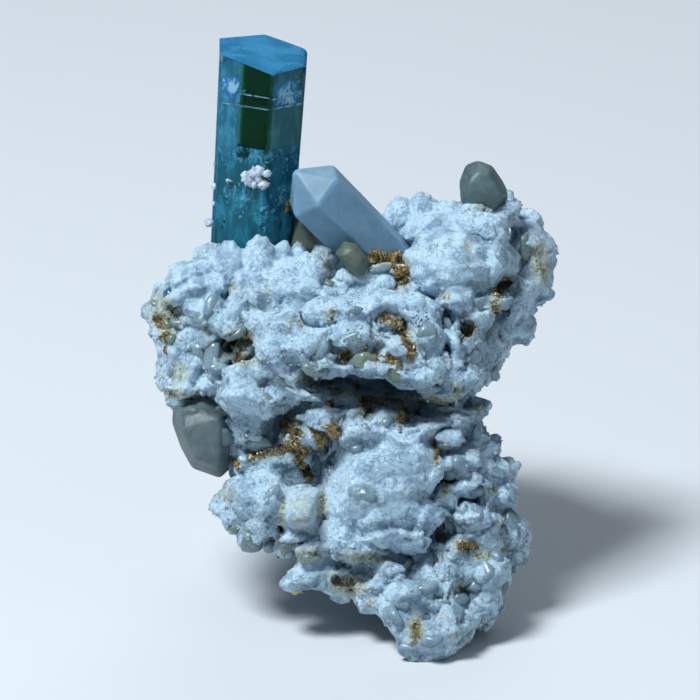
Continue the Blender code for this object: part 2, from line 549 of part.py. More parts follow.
def make_beads(beryl_tree):
    """Small white beads on the left side of the prism."""
    made = []
    ball = unit_directions(2)
    for number, (name, u, v, radius) in enumerate(BEADS):
        w = front_w(beryl_tree, max(u, BEAD_EDGE), v) + radius * 0.5
        bm = bmesh.new()
        add_lump(bm, ball, (u, v, w, radius, radius * 0.85, radius, 0), 80 + number, 4, 0.15)
        bead = new_object(name, mesh_from_bmesh(name, bm))
        bead.data.materials.append(material(name, (0.62, 0.70, 0.78), 0.6))
        made.append(bead)
    return made


# ---------------------------------------------------------------- fitting the pieces together
def swollen_hull(obj, gap):
    """Plain convex cutter that stands clear of a piece on every side."""
    bm = bmesh.new()
    bm.from_mesh(obj.data)
    bmesh.ops.remove_doubles(bm, verts=bm.verts, dist=CUTTER_MERGE * MM)
    points = [vert.co.copy() for vert in bm.verts]
    bm.free()
    bm = bmesh.new()
    bm.from_mesh(hull_mesh("cutter", points))
    bm.normal_update()
    moves = [vert.normal * min(vert.calc_shell_factor(), CUTTER_REACH) * gap * MM for vert in bm.verts]
    for vert, move in zip(bm.verts, moves):
        vert.co += move
    cutter = new_object("cutter", mesh_from_bmesh("cutter", bm))
    cutter.hide_render = True
    cutter.display_type = "WIRE"
    return cutter


def fit(host, guest):
    """Make room in one piece for another; the ragged rock needs the sturdier solver."""
    boolean(host, swollen_hull(guest, FIT_GAP), "DIFFERENCE", "MANIFOLD")
    keep_largest_body(host)


def surface_tree(obj):
    """Search tree over a piece's faces."""
    bm = bmesh.new()
    bm.from_mesh(obj.data)
    tree = BVHTree.FromBMesh(bm)
    bm.free()
    return tree


def stand_on_centre(objects):
    """Move everything so that the origin is under the middle of the piece, on the floor."""
    corners = np.array([vert.co[:] for obj in objects for vert in obj.data.vertices])
    low = corners.min(axis=0)
    high = corners.max(axis=0)
    shift = Vector((-(low[0] + high[0]) / 2, -(low[1] + high[1]) / 2, -low[2]))
    for obj in objects:
        obj.data.transform(Matrix.Translation(shift))
    print("layout shift in mm", [round(value / MM, 3) for value in shift])


def main():
    """Build the rock, then the crystals, and cut a pocket for each of them."""
    for obj in list(bpy.data.objects):
        bpy.data.objects.remove(obj, do_unlink=True)
    rock = make_rock()
    beryl = make_beryl()
    rock_tree = surface_tree(rock)
    beryl_tree = surface_tree(beryl)
    knob = make_outlined_quartz("smoky_knob", KNOB_OUTLINE, KNOB_DEPTH, "smoky")
    nodule = make_outlined_quartz("quartz_nodule", NODULE_OUTLINE, NODULE_DEPTH, "quartz")
    guests = [beryl, make_quartz_point(), knob, nodule] + make_small_crystals()
    guests += [make_mica_book(row, 40 + number, rock_tree) for number, row in enumerate(MICA_BOOKS)]
    grown_on_beryl = [make_rosette(beryl_tree)] + make_beads(beryl_tree)
    for guest in guests:
        fit(rock, guest)
    for guest in grown_on_beryl:
        fit(guest, beryl)
    rock.data.materials.clear()
    rock.data.materials.append(material("albite_rock", (0.55, 0.66, 0.76), 0.7))
    stand_on_centre([rock] + guests + grown_on_beryl)


main()
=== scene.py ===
"""Dresses the aquamarine specimen: a six-sided blue crystal and a frosted quartz point on white rock.

Every place is given in millimetres on a sloping sheet: u runs to the right, v up the sheet and w
out of it towards the front.  The rock is grown from the same lumps as the solid, in a finer
grain, and its quartz grains, albite blocks and mica books are then set into its surface.
"""

import logging
import math
import random
from dataclasses import dataclass, field
from enum import Enum
from functools import lru_cache
from typing import NamedTuple, Sequence

import bmesh
import bpy
import numpy as np
from mathutils import Matrix, Vector
from mathutils.bvhtree import BVHTree


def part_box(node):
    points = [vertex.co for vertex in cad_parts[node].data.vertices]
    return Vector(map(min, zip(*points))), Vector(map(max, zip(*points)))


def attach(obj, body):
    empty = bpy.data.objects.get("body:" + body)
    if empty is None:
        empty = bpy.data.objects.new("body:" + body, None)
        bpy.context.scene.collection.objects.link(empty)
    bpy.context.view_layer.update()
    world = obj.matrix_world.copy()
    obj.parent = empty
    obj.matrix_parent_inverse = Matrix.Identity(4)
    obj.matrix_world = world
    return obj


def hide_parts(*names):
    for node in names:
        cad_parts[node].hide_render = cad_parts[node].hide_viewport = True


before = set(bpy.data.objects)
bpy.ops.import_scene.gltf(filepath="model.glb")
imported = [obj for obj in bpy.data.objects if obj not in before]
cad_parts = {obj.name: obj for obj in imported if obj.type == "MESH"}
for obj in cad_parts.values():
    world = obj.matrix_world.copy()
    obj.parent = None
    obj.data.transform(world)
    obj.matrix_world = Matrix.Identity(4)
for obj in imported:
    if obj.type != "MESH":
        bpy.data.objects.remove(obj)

log = logging.getLogger("specimen")

MM = 0.001
BODY = "root"
SHEET_TILT = 20.0         # degrees that the sheet leans back from upright
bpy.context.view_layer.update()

# ---------------------------------------------------------------- the rock's lumps
# Each row is (u, v, w, half_u, half_v, half_w, roll in degrees), in millimetres on the sheet.
# A roll of 0 is left out.
CORE_LUMPS = (
    (-3, 41, -17, 17, 9.5, 17), (12.5, 46.5, -17, 10, 8.5, 15, 15), (-12.2, 35.5, -17, 11, 9, 13),
    (4, 21, -11.5, 12, 11.5, 11.5, -10), (11.5, 10, -9, 8, 8.5, 9, 20), (11.5, 24, -16, 8.5, 10, 12),
    (0, 36, -29, 16, 15, 12), (4, 24, -31, 14, 12, 12), (-6, 27, -32, 8.5, 11, 12),
    (12, 23, -31, 7.5, 11, 10), (12, 49.5, -27, 9.5, 6.5, 9), (20, 47.5, -20, 5, 6.5, 8),
    (-13, 44, -21, 8, 6.5, 11, 10), (-1, 12.6, -11, 7.2, 3.6, 5, -10), (-7.5, 16.8, -10, 5, 3.6, 5, -15),
    (6, 16, -30, 12.5, 10, 12), (-7.5, 17.6, -38.5, 7.8, 7.6, 7.6), (9.5, 11, -17, 8, 7.5, 10),
)
BACK_LUMPS = (
    (-13.5, 48.5, -28, 7.5, 5.2, 8, 8), (-4, 49.5, -31, 6.5, 4.4, 7.5, -8), (5, 51.5, -34, 6.5, 4, 6.5, 10),
    (-15, 39, -30, 5, 5, 6), (-9, 33, -37, 6, 5, 5, 20), (2, 40, -38, 8, 6, 6), (11, 38, -35, 7, 6, 6, -15),
    (11.5, 31, -29, 5, 6, 6), (0, 27, -40, 7, 6, 5, 10), (10, 25, -38, 6, 6, 5), (17, 43, -25, 5, 5, 6, 20),
    (-8, 21, -33, 4, 5, 6),
)
UPPER_LEFT_LUMPS = (
    (-20.2, 48.9, -9, 3.2, 2, 5, 22), (-19.6, 46.8, -7.5, 4.2, 1.7, 5, 22),
    (-18.5, 44.6, -6.5, 3.6, 1.6, 5, 20), (-17.9, 51.2, -10, 2, 2, 3.5, 30), (-21.4, 49.4, -11, 1.8, 1.5, 3),
    (-7, 46.6, -4.5, 4.3, 4.4, 5, -35), (-12.5, 45.6, -4, 3.8, 3.6, 5), (-15.6, 42.2, -4.5, 3.2, 2.3, 5, -20),
    (-11, 42, -3, 3, 3, 4), (-20.3, 38, -9.5, 4.1, 4.2, 6), (-22.3, 36.8, -11, 2.5, 3.3, 4),
    (-20.2, 41.4, -9.5, 4, 2.9, 5), (-13, 36.3, -3.5, 4.2, 1.5, 5), (-13, 32.8, -4.5, 4.8, 3, 5.5, -35),
    (-21, 34.2, -10, 3.3, 1.9, 5), (-21.6, 32.6, -11, 2, 1.6, 4), (-8, 35.5, -2.8, 2.6, 1.6, 4, -15),
    (-8.5, 38.4, -1.5, 3.4, 2.6, 4, -30), (-9.8, 32.3, -4, 2.2, 1.6, 4, -20),
    (-6.3, 33.4, -3.4, 2.5, 1.2, 4, -10), (-7.5, 41.5, -1.5, 3, 2.8, 4.5), (-4, 39.8, -0.6, 3.3, 3.2, 4),
    (-12.4, 29.2, -10, 4.4, 3.6, 6), (-23.8, 44.4, -10.5, 3.2, 2.2, 4, 20),
    (-23.2, 41.4, -10.5, 2.6, 2.3, 4, -40), (-23.4, 46.6, -11, 2.2, 1.6, 3, 30),
    (-14.4, 26.2, -11, 2.4, 2.8, 5), (-23, 39.2, -11, 1.6, 2, 4),
)
UPPER_FRONT_LUMPS = (
    (-1, 43.6, -1.6, 4.2, 2.6, 4.5, 10), (3.8, 44.9, -1.8, 3.8, 2.2, 4.5, 15), (0.4, 40.8, 0, 3.4, 2.2, 3.6),
    (3, 37.2, -0.4, 3.4, 1.9, 3.6), (-3.3, 36.9, -1, 3.6, 1.7, 4, -10), (7.2, 36, -1.2, 3.6, 2.1, 4, -5),
    (6, 39.5, 0.2, 2.8, 1.8, 3.3), (9.6, 41, -0.4, 2.7, 3, 3.8), (10, 36.8, -1.8, 3.2, 2.6, 4),
    (8.7, 44.3, -1.7, 3.2, 2.1, 4), (-0.5, 47.7, -4.5, 1.9, 1.4, 3), (1.6, 47.7, -4.3, 1.8, 1.5, 3),
    (4.1, 47, -4.2, 2, 1.5, 3), (-2.7, 46.2, -3.6, 1.5, 1.4, 3), (-4.4, 43.6, -2.4, 2.2, 2.2, 3.5),
    (3.8, 49, -5.6, 2.6, 1.2, 3.2, 8), (6.8, 47.6, -5.4, 2.3, 2.2, 3.4),
)
UPPER_RIGHT_LUMPS = (
    (16.2, 53.8, -9, 4.2, 3.5, 6, 25), (10.4, 53.8, -12, 4.8, 3.2, 7), (17.6, 50, -8.5, 3.6, 3.5, 6),
    (16.9, 56.6, -12, 3.2, 2.1, 4), (20.2, 57.2, -13, 2, 2.7, 3.5), (5.6, 55.8, -26, 2.4, 2.4, 5),
    (9.8, 56.3, -25, 2.5, 3, 5), (13.4, 56, -21, 2.8, 2.5, 5), (7.6, 55.7, -26, 1.8, 2.2, 4),
    (13.5, 45.4, -2.8, 3.3, 1.8, 5, 15), (15.8, 43.4, -4.4, 2.8, 2, 5, 20), (17.4, 40.7, -6.5, 3, 3.2, 5),
    (14, 40, -3.4, 3, 3, 5), (13.4, 36.5, -4, 3.5, 3, 5), (16.8, 36.4, -7.5, 2.1, 2.3, 5, 20),
    (20.5, 45.4, -11, 2.8, 4, 6, -20), (22.8, 52.5, -17, 3.4, 3.5, 5), (24.2, 50.9, -19, 3.2, 3.8, 5),
    (22.6, 54.8, -19, 2.4, 2.2, 4, -30), (23.2, 47.6, -16, 3.4, 2.9, 6, 20), (20.6, 42.4, -12, 2.8, 3, 5, 30),
    (18.1, 37.8, -10, 1.8, 3, 4, -25), (11.3, 33.7, -4.6, 3.2, 1.4, 5),
)
LOWER_LUMPS = (
    (3.5, 22.4, -6.2, 8.6, 8, 7.2), (0.4, 28.6, -3.4, 2.8, 1.9, 3.6, 10), (6, 28.4, -4, 4.5, 1.9, 4, -10),
    (9, 24.5, -4, 3, 3.1, 4.8), (5, 15.8, -3.2, 5, 1.8, 4.6), (-1.5, 15.2, -3.7, 2.7, 2.2, 4.5),
    (-5.8, 19, -3.4, 2.9, 3.4, 4.6), (-10.2, 19.9, -5.6, 2.3, 4, 5), (-13.2, 20.4, -7.4, 3.5, 2.8, 4.5, -12),
    (-16, 19.4, -8.5, 1.8, 1.7, 3), (-11.6, 23.3, -7.6, 3.5, 1.9, 4.5, 15), (-10.8, 16.5, -6.6, 2.3, 1.9, 4),
    (-14.6, 17.3, -8, 2.1, 1.4, 3, -25), (-5, 13.8, -4.6, 2.8, 1.9, 3.5), (-4.7, 10.3, -5.4, 3.8, 2.1, 3.4),
    (-0.3, 9.6, -6.6, 3.4, 2.2, 4), (1.5, 12.4, -6.8, 3.7, 1.9, 4), (5.3, 11.2, -2.9, 2, 1.8, 3),
    (3, 9, -3.8, 2.1, 1.8, 3), (2.6, 7, -4.4, 2.3, 1.8, 3), (7.5, 8.4, -2.3, 3.3, 2.5, 4),
    (6.8, 5, -2.6, 3, 3.9, 4.4, 28), (9.4, 2.6, -1.9, 3.9, 3.6, 4.6), (12.6, 4.8, -3, 3.7, 3.7, 5),
    (16.2, 6.3, -6.6, 3, 2.9, 5), (17.4, 11, -6.6, 3.9, 3.1, 6, 20), (12.3, 10.6, -3.4, 2.5, 2.2, 4),
    (20.3, 15.6, -12, 2.7, 4.4, 5, 10), (16, 15.4, -7.6, 3.2, 2.5, 5), (15, 18.7, -6.6, 3.3, 2, 5),
    (19.2, 20.8, -11, 2.6, 2.8, 5), (19.9, 23.7, -12, 1.7, 2.4, 4), (17.4, 24, -9.6, 2.8, 2.2, 5),
    (13.9, 25, -6.6, 2.8, 2.4, 5), (16, 28.5, -9.6, 2, 2.4, 5), (12.9, 30.3, -6.6, 3.1, 1.5, 5),
    (9.9, 29.2, -5.4, 2.5, 1.6, 4), (16, 32, -10, 2, 1.6, 3.5), (-3.8, 30.7, -4, 3.3, 1.8, 4),
    (0, 31.2, -4.6, 2.2, 1.3, 4), (4.4, 30.7, -5, 2.6, 1.3, 4), (-8.6, 25.6, -7.6, 4, 1.7, 4),
    (13.2, 14, -6.4, 1.7, 1.6, 3.5),
)
# Smooth rounded knobs, in the same form as the lumps.
LEFT_DOMES = (
    (-15.1, 49.9, -6, 1.9, 2.9, 2.9, 8), (-11.4, 50.3, -5.8, 2, 3.1, 3.1), (-8.4, 50.7, -6.6, 1, 2.1, 2.2),
    (-6.5, 51.1, -8.4, 0.9, 1.5, 2), (-3.3, 50.7, -7.4, 1.6, 1.9, 2.5), (-5.2, 48.9, -5, 2.5, 2.4, 3),
    (-17.2, 44.2, -4.6, 1.5, 2.2, 3), (-19.6, 48.8, -6.6, 3.6, 1.3, 2.6, 24),
    (-20.2, 46.4, -6, 3.4, 1.1, 2.4, 22), (-13, 47.4, -3.6, 1.3, 1.7, 1.8, 10),
    (-10, 47.8, -3.6, 1.1, 1.5, 1.8),
)
RIGHT_DOMES = (
    (12.4, 49.6, -6.5, 5.6, 4.8, 6), (6.4, 56.2, -13.6, 1.8, 2.3, 2.6), (9.2, 56.6, -13.8, 1.9, 2.4, 2.8),
    (12.2, 56.2, -12.6, 2, 1.9, 2.6), (4.4, 54.8, -13.4, 1.1, 1.6, 2),
)
LOWER_DOMES = (
    (-12.1, 15.2, -8, 1.9, 1.5, 2.4), (-8.3, 14.4, -6.6, 1.2, 1.4, 2), (-7.3, 9.7, -5.6, 1.6, 1.1, 1.8),
    (11.2, 2.1, -2.4, 2.4, 1.7, 3.4),
)
# Blocks that close the gaps on the left.
LEFT_FILLERS = (
    (-16.6, 37.4, -5.6, 2.2, 2.8, 3.4, -10), (-17.6, 40.6, -5.8, 2, 1.8, 3.2, 20),
    (-16.8, 47.2, -6.4, 3, 2.4, 4, 20), (-15, 35.4, -5, 2.4, 1.4, 3.4), (-13.2, 39, -4.6, 2.6, 2.2, 2.8, 30),
    (-17.6, 34.8, -7.5, 2.6, 1.8, 3.5),
)
# The waist between the upper and the lower half.
CORE_FILLERS = ((5.0, 32.2, -16.8, 13.0, 3.4, 4.4, 0), (12.0, 33.0, -21.0, 6.0, 3.6, 5.0, 0))
# Blocks under the mica in the middle, and the glassy blocks at the lower right.
FRONT_FILLERS = ((5.0, 42.6, -1.6, 2.4, 1.8, 2.6, 0), (1.6, 42.6, -1.6, 2.4, 1.4, 2.6, 10))
RIGHT_FILLERS = ((17.6, 45.6, -6.6, 2.6, 2.2, 3.4, 20), (19.6, 50.6, -10.5, 2.2, 2.6, 4.0, 0))
LOWER_FILLERS = (
    (11.8, 20.6, -5.6, 2.2, 2.6, 3.6, -20), (17.2, 8.6, -5.6, 2.6, 2.2, 3.6, 20),
    (17.6, 26.6, -9.6, 2.2, 2, 3.6), (17, 17.2, -7.2, 2.8, 2.2, 3.4, 10),
    (11.6, 7.4, -2.4, 2.4, 1.6, 2.6, -20), (12.6, 28, -5.8, 2.6, 1.7, 4), (15.2, 22.4, -6.6, 3, 1.9, 4),
    (9.9, 18.6, -4.4, 2.4, 2.8, 4, -20), (7.6, 15.4, -4, 3.4, 2, 4, -8), (-7, 16, -5, 2.8, 1.5, 2.8),
    (0.6, 14.3, -3.4, 3.6, 1.8, 3.4), (-6, 28.4, -4.6, 3.2, 1.8, 3, -10), (-13, 25.2, -8.4, 2.2, 2.2, 3.2),
    (17, 20.6, -8.8, 1.8, 2, 3), (4.6, 19, -3, 5.4, 3.4, 3.6),
)
# Hollows that are cut out of the joined lumps.
ROCK_PITS = (
    (10.9, 13.7, -1, 1.6, 2.8, 4.4, -8), (-14, 40, -0.2, 1.7, 1.4, 1.4, 40),
    (-0.4, 10.2, -2.8, 2.2, 1.2, 2.4), (-7, 29, -1.6, 1.2, 1.8, 2), (14.4, 41.8, -0.6, 1.6, 1.2, 2, 45),
    (19.3, 47, -6, 2.6, 0.9, 3, 25), (2, 33.2, -1, 9, 0.9, 4, -6),
)

# ---------------------------------------------------------------- what is only colour or polish
# Each row is (u, v, half_u, half_v, roll, strength): an oval of the rock's front.
RUST_PATCHES = (
    (-2.6, 34.2, 4.6, 0.9, -18, 0.95), (4.4, 32.8, 4.4, 0.9, -4, 1.0), (11.4, 32.4, 4.4, 0.8, 0, 0.95),
    (24.8, 50.6, 2.0, 3.4, 0, 1.05), (2.0, 13.0, 4.0, 0.8, -10, 0.8), (-21.6, 36.0, 1.8, 1.6, 0, 0.7),
    (14.5, 14.4, 1.9, 1.0, 0, 1.0), (17.5, 13.4, 3.0, 0.7, 8, 0.9), (14.0, 9.4, 1.2, 0.7, 20, 0.9),
    (8.3, 4.0, 1.2, 2.2, 0, 1.0), (12.8, 3.3, 0.8, 0.6, 0, 0.7), (17.5, 21.4, 1.4, 0.8, 0, 0.7),
    (19.7, 17.5, 1.6, 1.0, 30, 0.7), (-22.0, 33.6, 1.8, 0.9, 0, 0.9), (-19.4, 33.2, 1.4, 0.8, 0, 0.8),
    (24.2, 51.6, 2.0, 1.5, 35, 1.0), (25.3, 49.4, 1.2, 1.4, 0, 0.9), (19.6, 47.5, 1.6, 0.9, 30, 1.0),
    (18.3, 45.0, 1.0, 1.6, 0, 1.0), (-15.6, 20.8, 1.6, 1.6, 30, 0.6), (-5.9, 18.9, 2.9, 3.5, 0, 0.55),
    (-3.6, 19.7, 0.9, 2.4, 0, 0.9), (-8.5, 18.8, 0.45, 2.6, -8, 0.9), (-2.6, 43.6, 0.9, 1.2, 0, 0.8),
    (16.4, 57.6, 1.6, 1.0, 0, 0.7), (-3.6, 51.3, 1.5, 1.0, 0, 0.5), (11.9, 21.9, 0.6, 1.4, 0, 1.0),
    (10.8, 26.4, 0.6, 1.8, 0, 1.0), (12.6, 27.4, 0.7, 0.9, 0, 0.9), (-0.4, 9.6, 2.8, 1.4, -10, 1.0),
    (-5.2, 13.4, 2.0, 1.1, 0, 0.9), (12.0, 45.8, 0.8, 0.6, 0, 0.9), (14.9, 41.6, 1.6, 1.0, 45, 1.0),
    (-14.2, 40.0, 2.4, 2.0, 40, 1.0), (-13.4, 38.0, 1.8, 1.0, 0, 1.0), (-7.4, 28.6, 1.8, 2.0, 0, 1.0),
    (-10.8, 25.9, 2.6, 0.7, 10, 1.0), (2.0, 31.9, 1.0, 1.6, -20, 1.0), (6.6, 31.0, 1.2, 1.6, 0, 1.0),
    (4.6, 50.2, 2.9, 1.3, 0, 0.9), (6.5, 48.4, 1.2, 2.1, 0, 0.9), (5.0, 42.9, 1.9, 0.8, -18, 0.9),
    (7.3, 40.2, 0.8, 2.4, 15, 0.9), (4.2, 38.0, 3.0, 0.8, -12, 1.0), (-0.6, 38.4, 1.2, 0.8, 0, 1.0),
    (14.7, 52.3, 0.8, 1.0, 0, 0.7), (14.8, 49.8, 0.5, 1.0, 20, 0.5), (-7.6, 42.4, 0.6, 1.2, 0, 0.6),
    (-6.2, 42.6, 0.5, 1.0, 0, 0.7), (-14.6, 47.0, 0.7, 0.5, 0, 0.8), (-8.6, 47.8, 0.6, 0.8, 0, 0.4),
    (-10.4, 46.4, 0.5, 0.9, 0, 0.6), (-9.9, 44.0, 0.5, 0.8, 0, 0.6), (-17.9, 40.9, 0.6, 1.4, 25, 0.6),
    (-17.0, 35.6, 0.5, 1.4, 0, 0.4), (-23.6, 43.6, 2.2, 3.6, 20, 0.8), (20.3, 25.0, 1.0, 0.8, 0, 0.3),
    (16.2, 31.9, 0.9, 0.9, 0, 0.8), (13.6, 34.2, 0.9, 1.2, 0, 0.8), (0.7, 19.0, 0.9, 0.4, 0, 0.3),
    (-2.8, 49.6, 0.8, 1.5, 0, 0.8), (1.0, 26.0, 0.4, 0.5, 0, 0.5), (2.6, 7.4, 1.1, 0.5, 40, 0.8),
    (11.6, 5.6, 0.8, 0.5, 45, 0.6), (3.2, 13.2, 1.5, 0.4, -20, 0.8), (15.9, 23.3, 1.1, 0.5, 0, 0.4),
)
# Grey quartz, with painted shade: the long ovals near v 33 to 35 under the overhang, the broad ones at the
# lower right.
QUARTZ_AND_SHADE_PATCHES = (
    (3.0, 34.2, 9.0, 1.7, -8, 1.0), (12.0, 32.6, 5.0, 1.4, 0, 1.0), (-7.0, 30.6, 3.0, 1.6, -20, 0.9),
    (15.5, 11.5, 5.5, 7.5, 10, 0.52), (9.0, 4.5, 4.0, 4.5, 0, 0.5), (17.0, 26.0, 4.5, 6.0, 0, 0.5),
    (-5.0, 10.2, 3.4, 1.6, 0, 0.5), (18.0, 36.0, 6.0, 7.0, 0, 0.46), (1.8, 20.8, 2.2, 1.5, -20, 1.0),
    (0.8, 27.0, 1.8, 0.9, 0, 1.0), (6.5, 24.8, 4.6, 1.6, 3, 0.9), (6.0, 19.6, 3.0, 2.3, 0, 0.7),
    (10.2, 19.8, 3.4, 1.1, -30, 1.0), (3.5, 17.2, 1.2, 0.6, 0, 0.8), (0.1, 17.5, 1.3, 0.6, 0, 0.8),
    (2.0, 12.2, 4.0, 1.2, 0, 1.0), (-10.0, 18.5, 1.8, 2.9, 0, 0.6), (-8.6, 24.1, 2.0, 1.0, 0, 0.7),
    (-19.6, 46.4, 3.0, 0.9, 25, 0.5), (-17.3, 44.0, 1.0, 2.0, 0, 0.8), (-16.8, 38.3, 2.4, 2.6, 0, 0.7),
    (4.5, 34.8, 9.5, 1.3, -10, 1.0), (-6.2, 37.6, 3.6, 1.3, -25, 0.9), (20.3, 45.0, 1.3, 4.4, -22, 0.8),
    (22.3, 52.0, 0.9, 3.0, 0, 0.8), (18.6, 43.0, 1.0, 2.6, 0, 0.6), (17.4, 38.6, 2.6, 3.2, 0, 0.6),
    (14.2, 47.0, 5.0, 0.9, 8, 0.6), (12.2, 26.8, 1.6, 1.4, 0, 0.6), (6.8, 6.4, 2.6, 3.6, 25, 0.6),
    (12.6, 11.0, 1.2, 1.4, 0, 0.6), (9.2, 9.6, 2.2, 1.3, 0, 0.6), (20.4, 15.6, 1.5, 4.4, 0, 0.6),
    (17.5, 10.6, 3.2, 1.8, 10, 0.5), (-13.5, 29.4, 4.6, 1.6, 0, 0.8), (12.5, 48.6, 4.6, 3.0, 0, 0.35),
    (3.0, 43.0, 1.6, 2.4, -30, 0.35), (-7.4, 45.6, 2.2, 3.4, 20, 0.3), (9.8, 40.6, 1.8, 1.6, 0, 0.8),
    (-11.4, 33.0, 3.6, 2.2, -35, 0.45), (14.4, 5.0, 2.0, 1.2, 30, 0.5),
)
# Faces that are smoother than the rest: knobs, cleavage faces and boulders.
SMOOTH_PATCHES = (
    (-14.9, 50.2, 2.6, 2.8, 0, 1.0), (-11.5, 50.6, 2.7, 2.8, 0, 1.0), (-8.6, 51.2, 1.6, 1.8, 0, 1.0),
    (-4.6, 49.6, 3.6, 3.0, 0, 0.9), (-19.4, 48.0, 4.6, 3.4, 22, 0.8), (-7.0, 47.0, 3.6, 4.4, 20, 0.7),
    (12.4, 50.0, 6.2, 5.0, 0, 1.0), (9.0, 56.5, 5.6, 3.0, 0, 0.9), (24.5, 51.5, 3.0, 5.0, 0, 0.8),
    (4.4, 22.0, 7.0, 6.6, 0, 0.7), (-5.9, 18.9, 2.8, 3.4, 0, 0.8), (-5.0, 10.2, 4.0, 2.0, 0, 0.9),
    (-13.0, 32.8, 4.6, 3.0, -35, 0.6), (3.4, 45.0, 4.4, 2.2, 15, 0.6), (6.8, 6.0, 3.0, 4.0, 25, 0.8),
    (-20.0, 37.6, 4.0, 3.6, 0, 0.5), (17.5, 11.0, 3.6, 3.0, 10, 0.6), (11.0, 2.4, 3.0, 2.4, 0, 0.8),
)
PATCH_DEPTH = -17.0       # w behind which the front's patches end
PATCH_FADE = 4.0
# seed, count, smallest, largest and strength of the patches on the sides and on the back
BACK_PATCHES = {
    "rust": (5, 12, 1.0, 3.0, 0.95), "grey": (6, 44, 0.9, 2.6, 0.95), "smooth": (7, 12, 2.4, 5.0, 0.8),
}

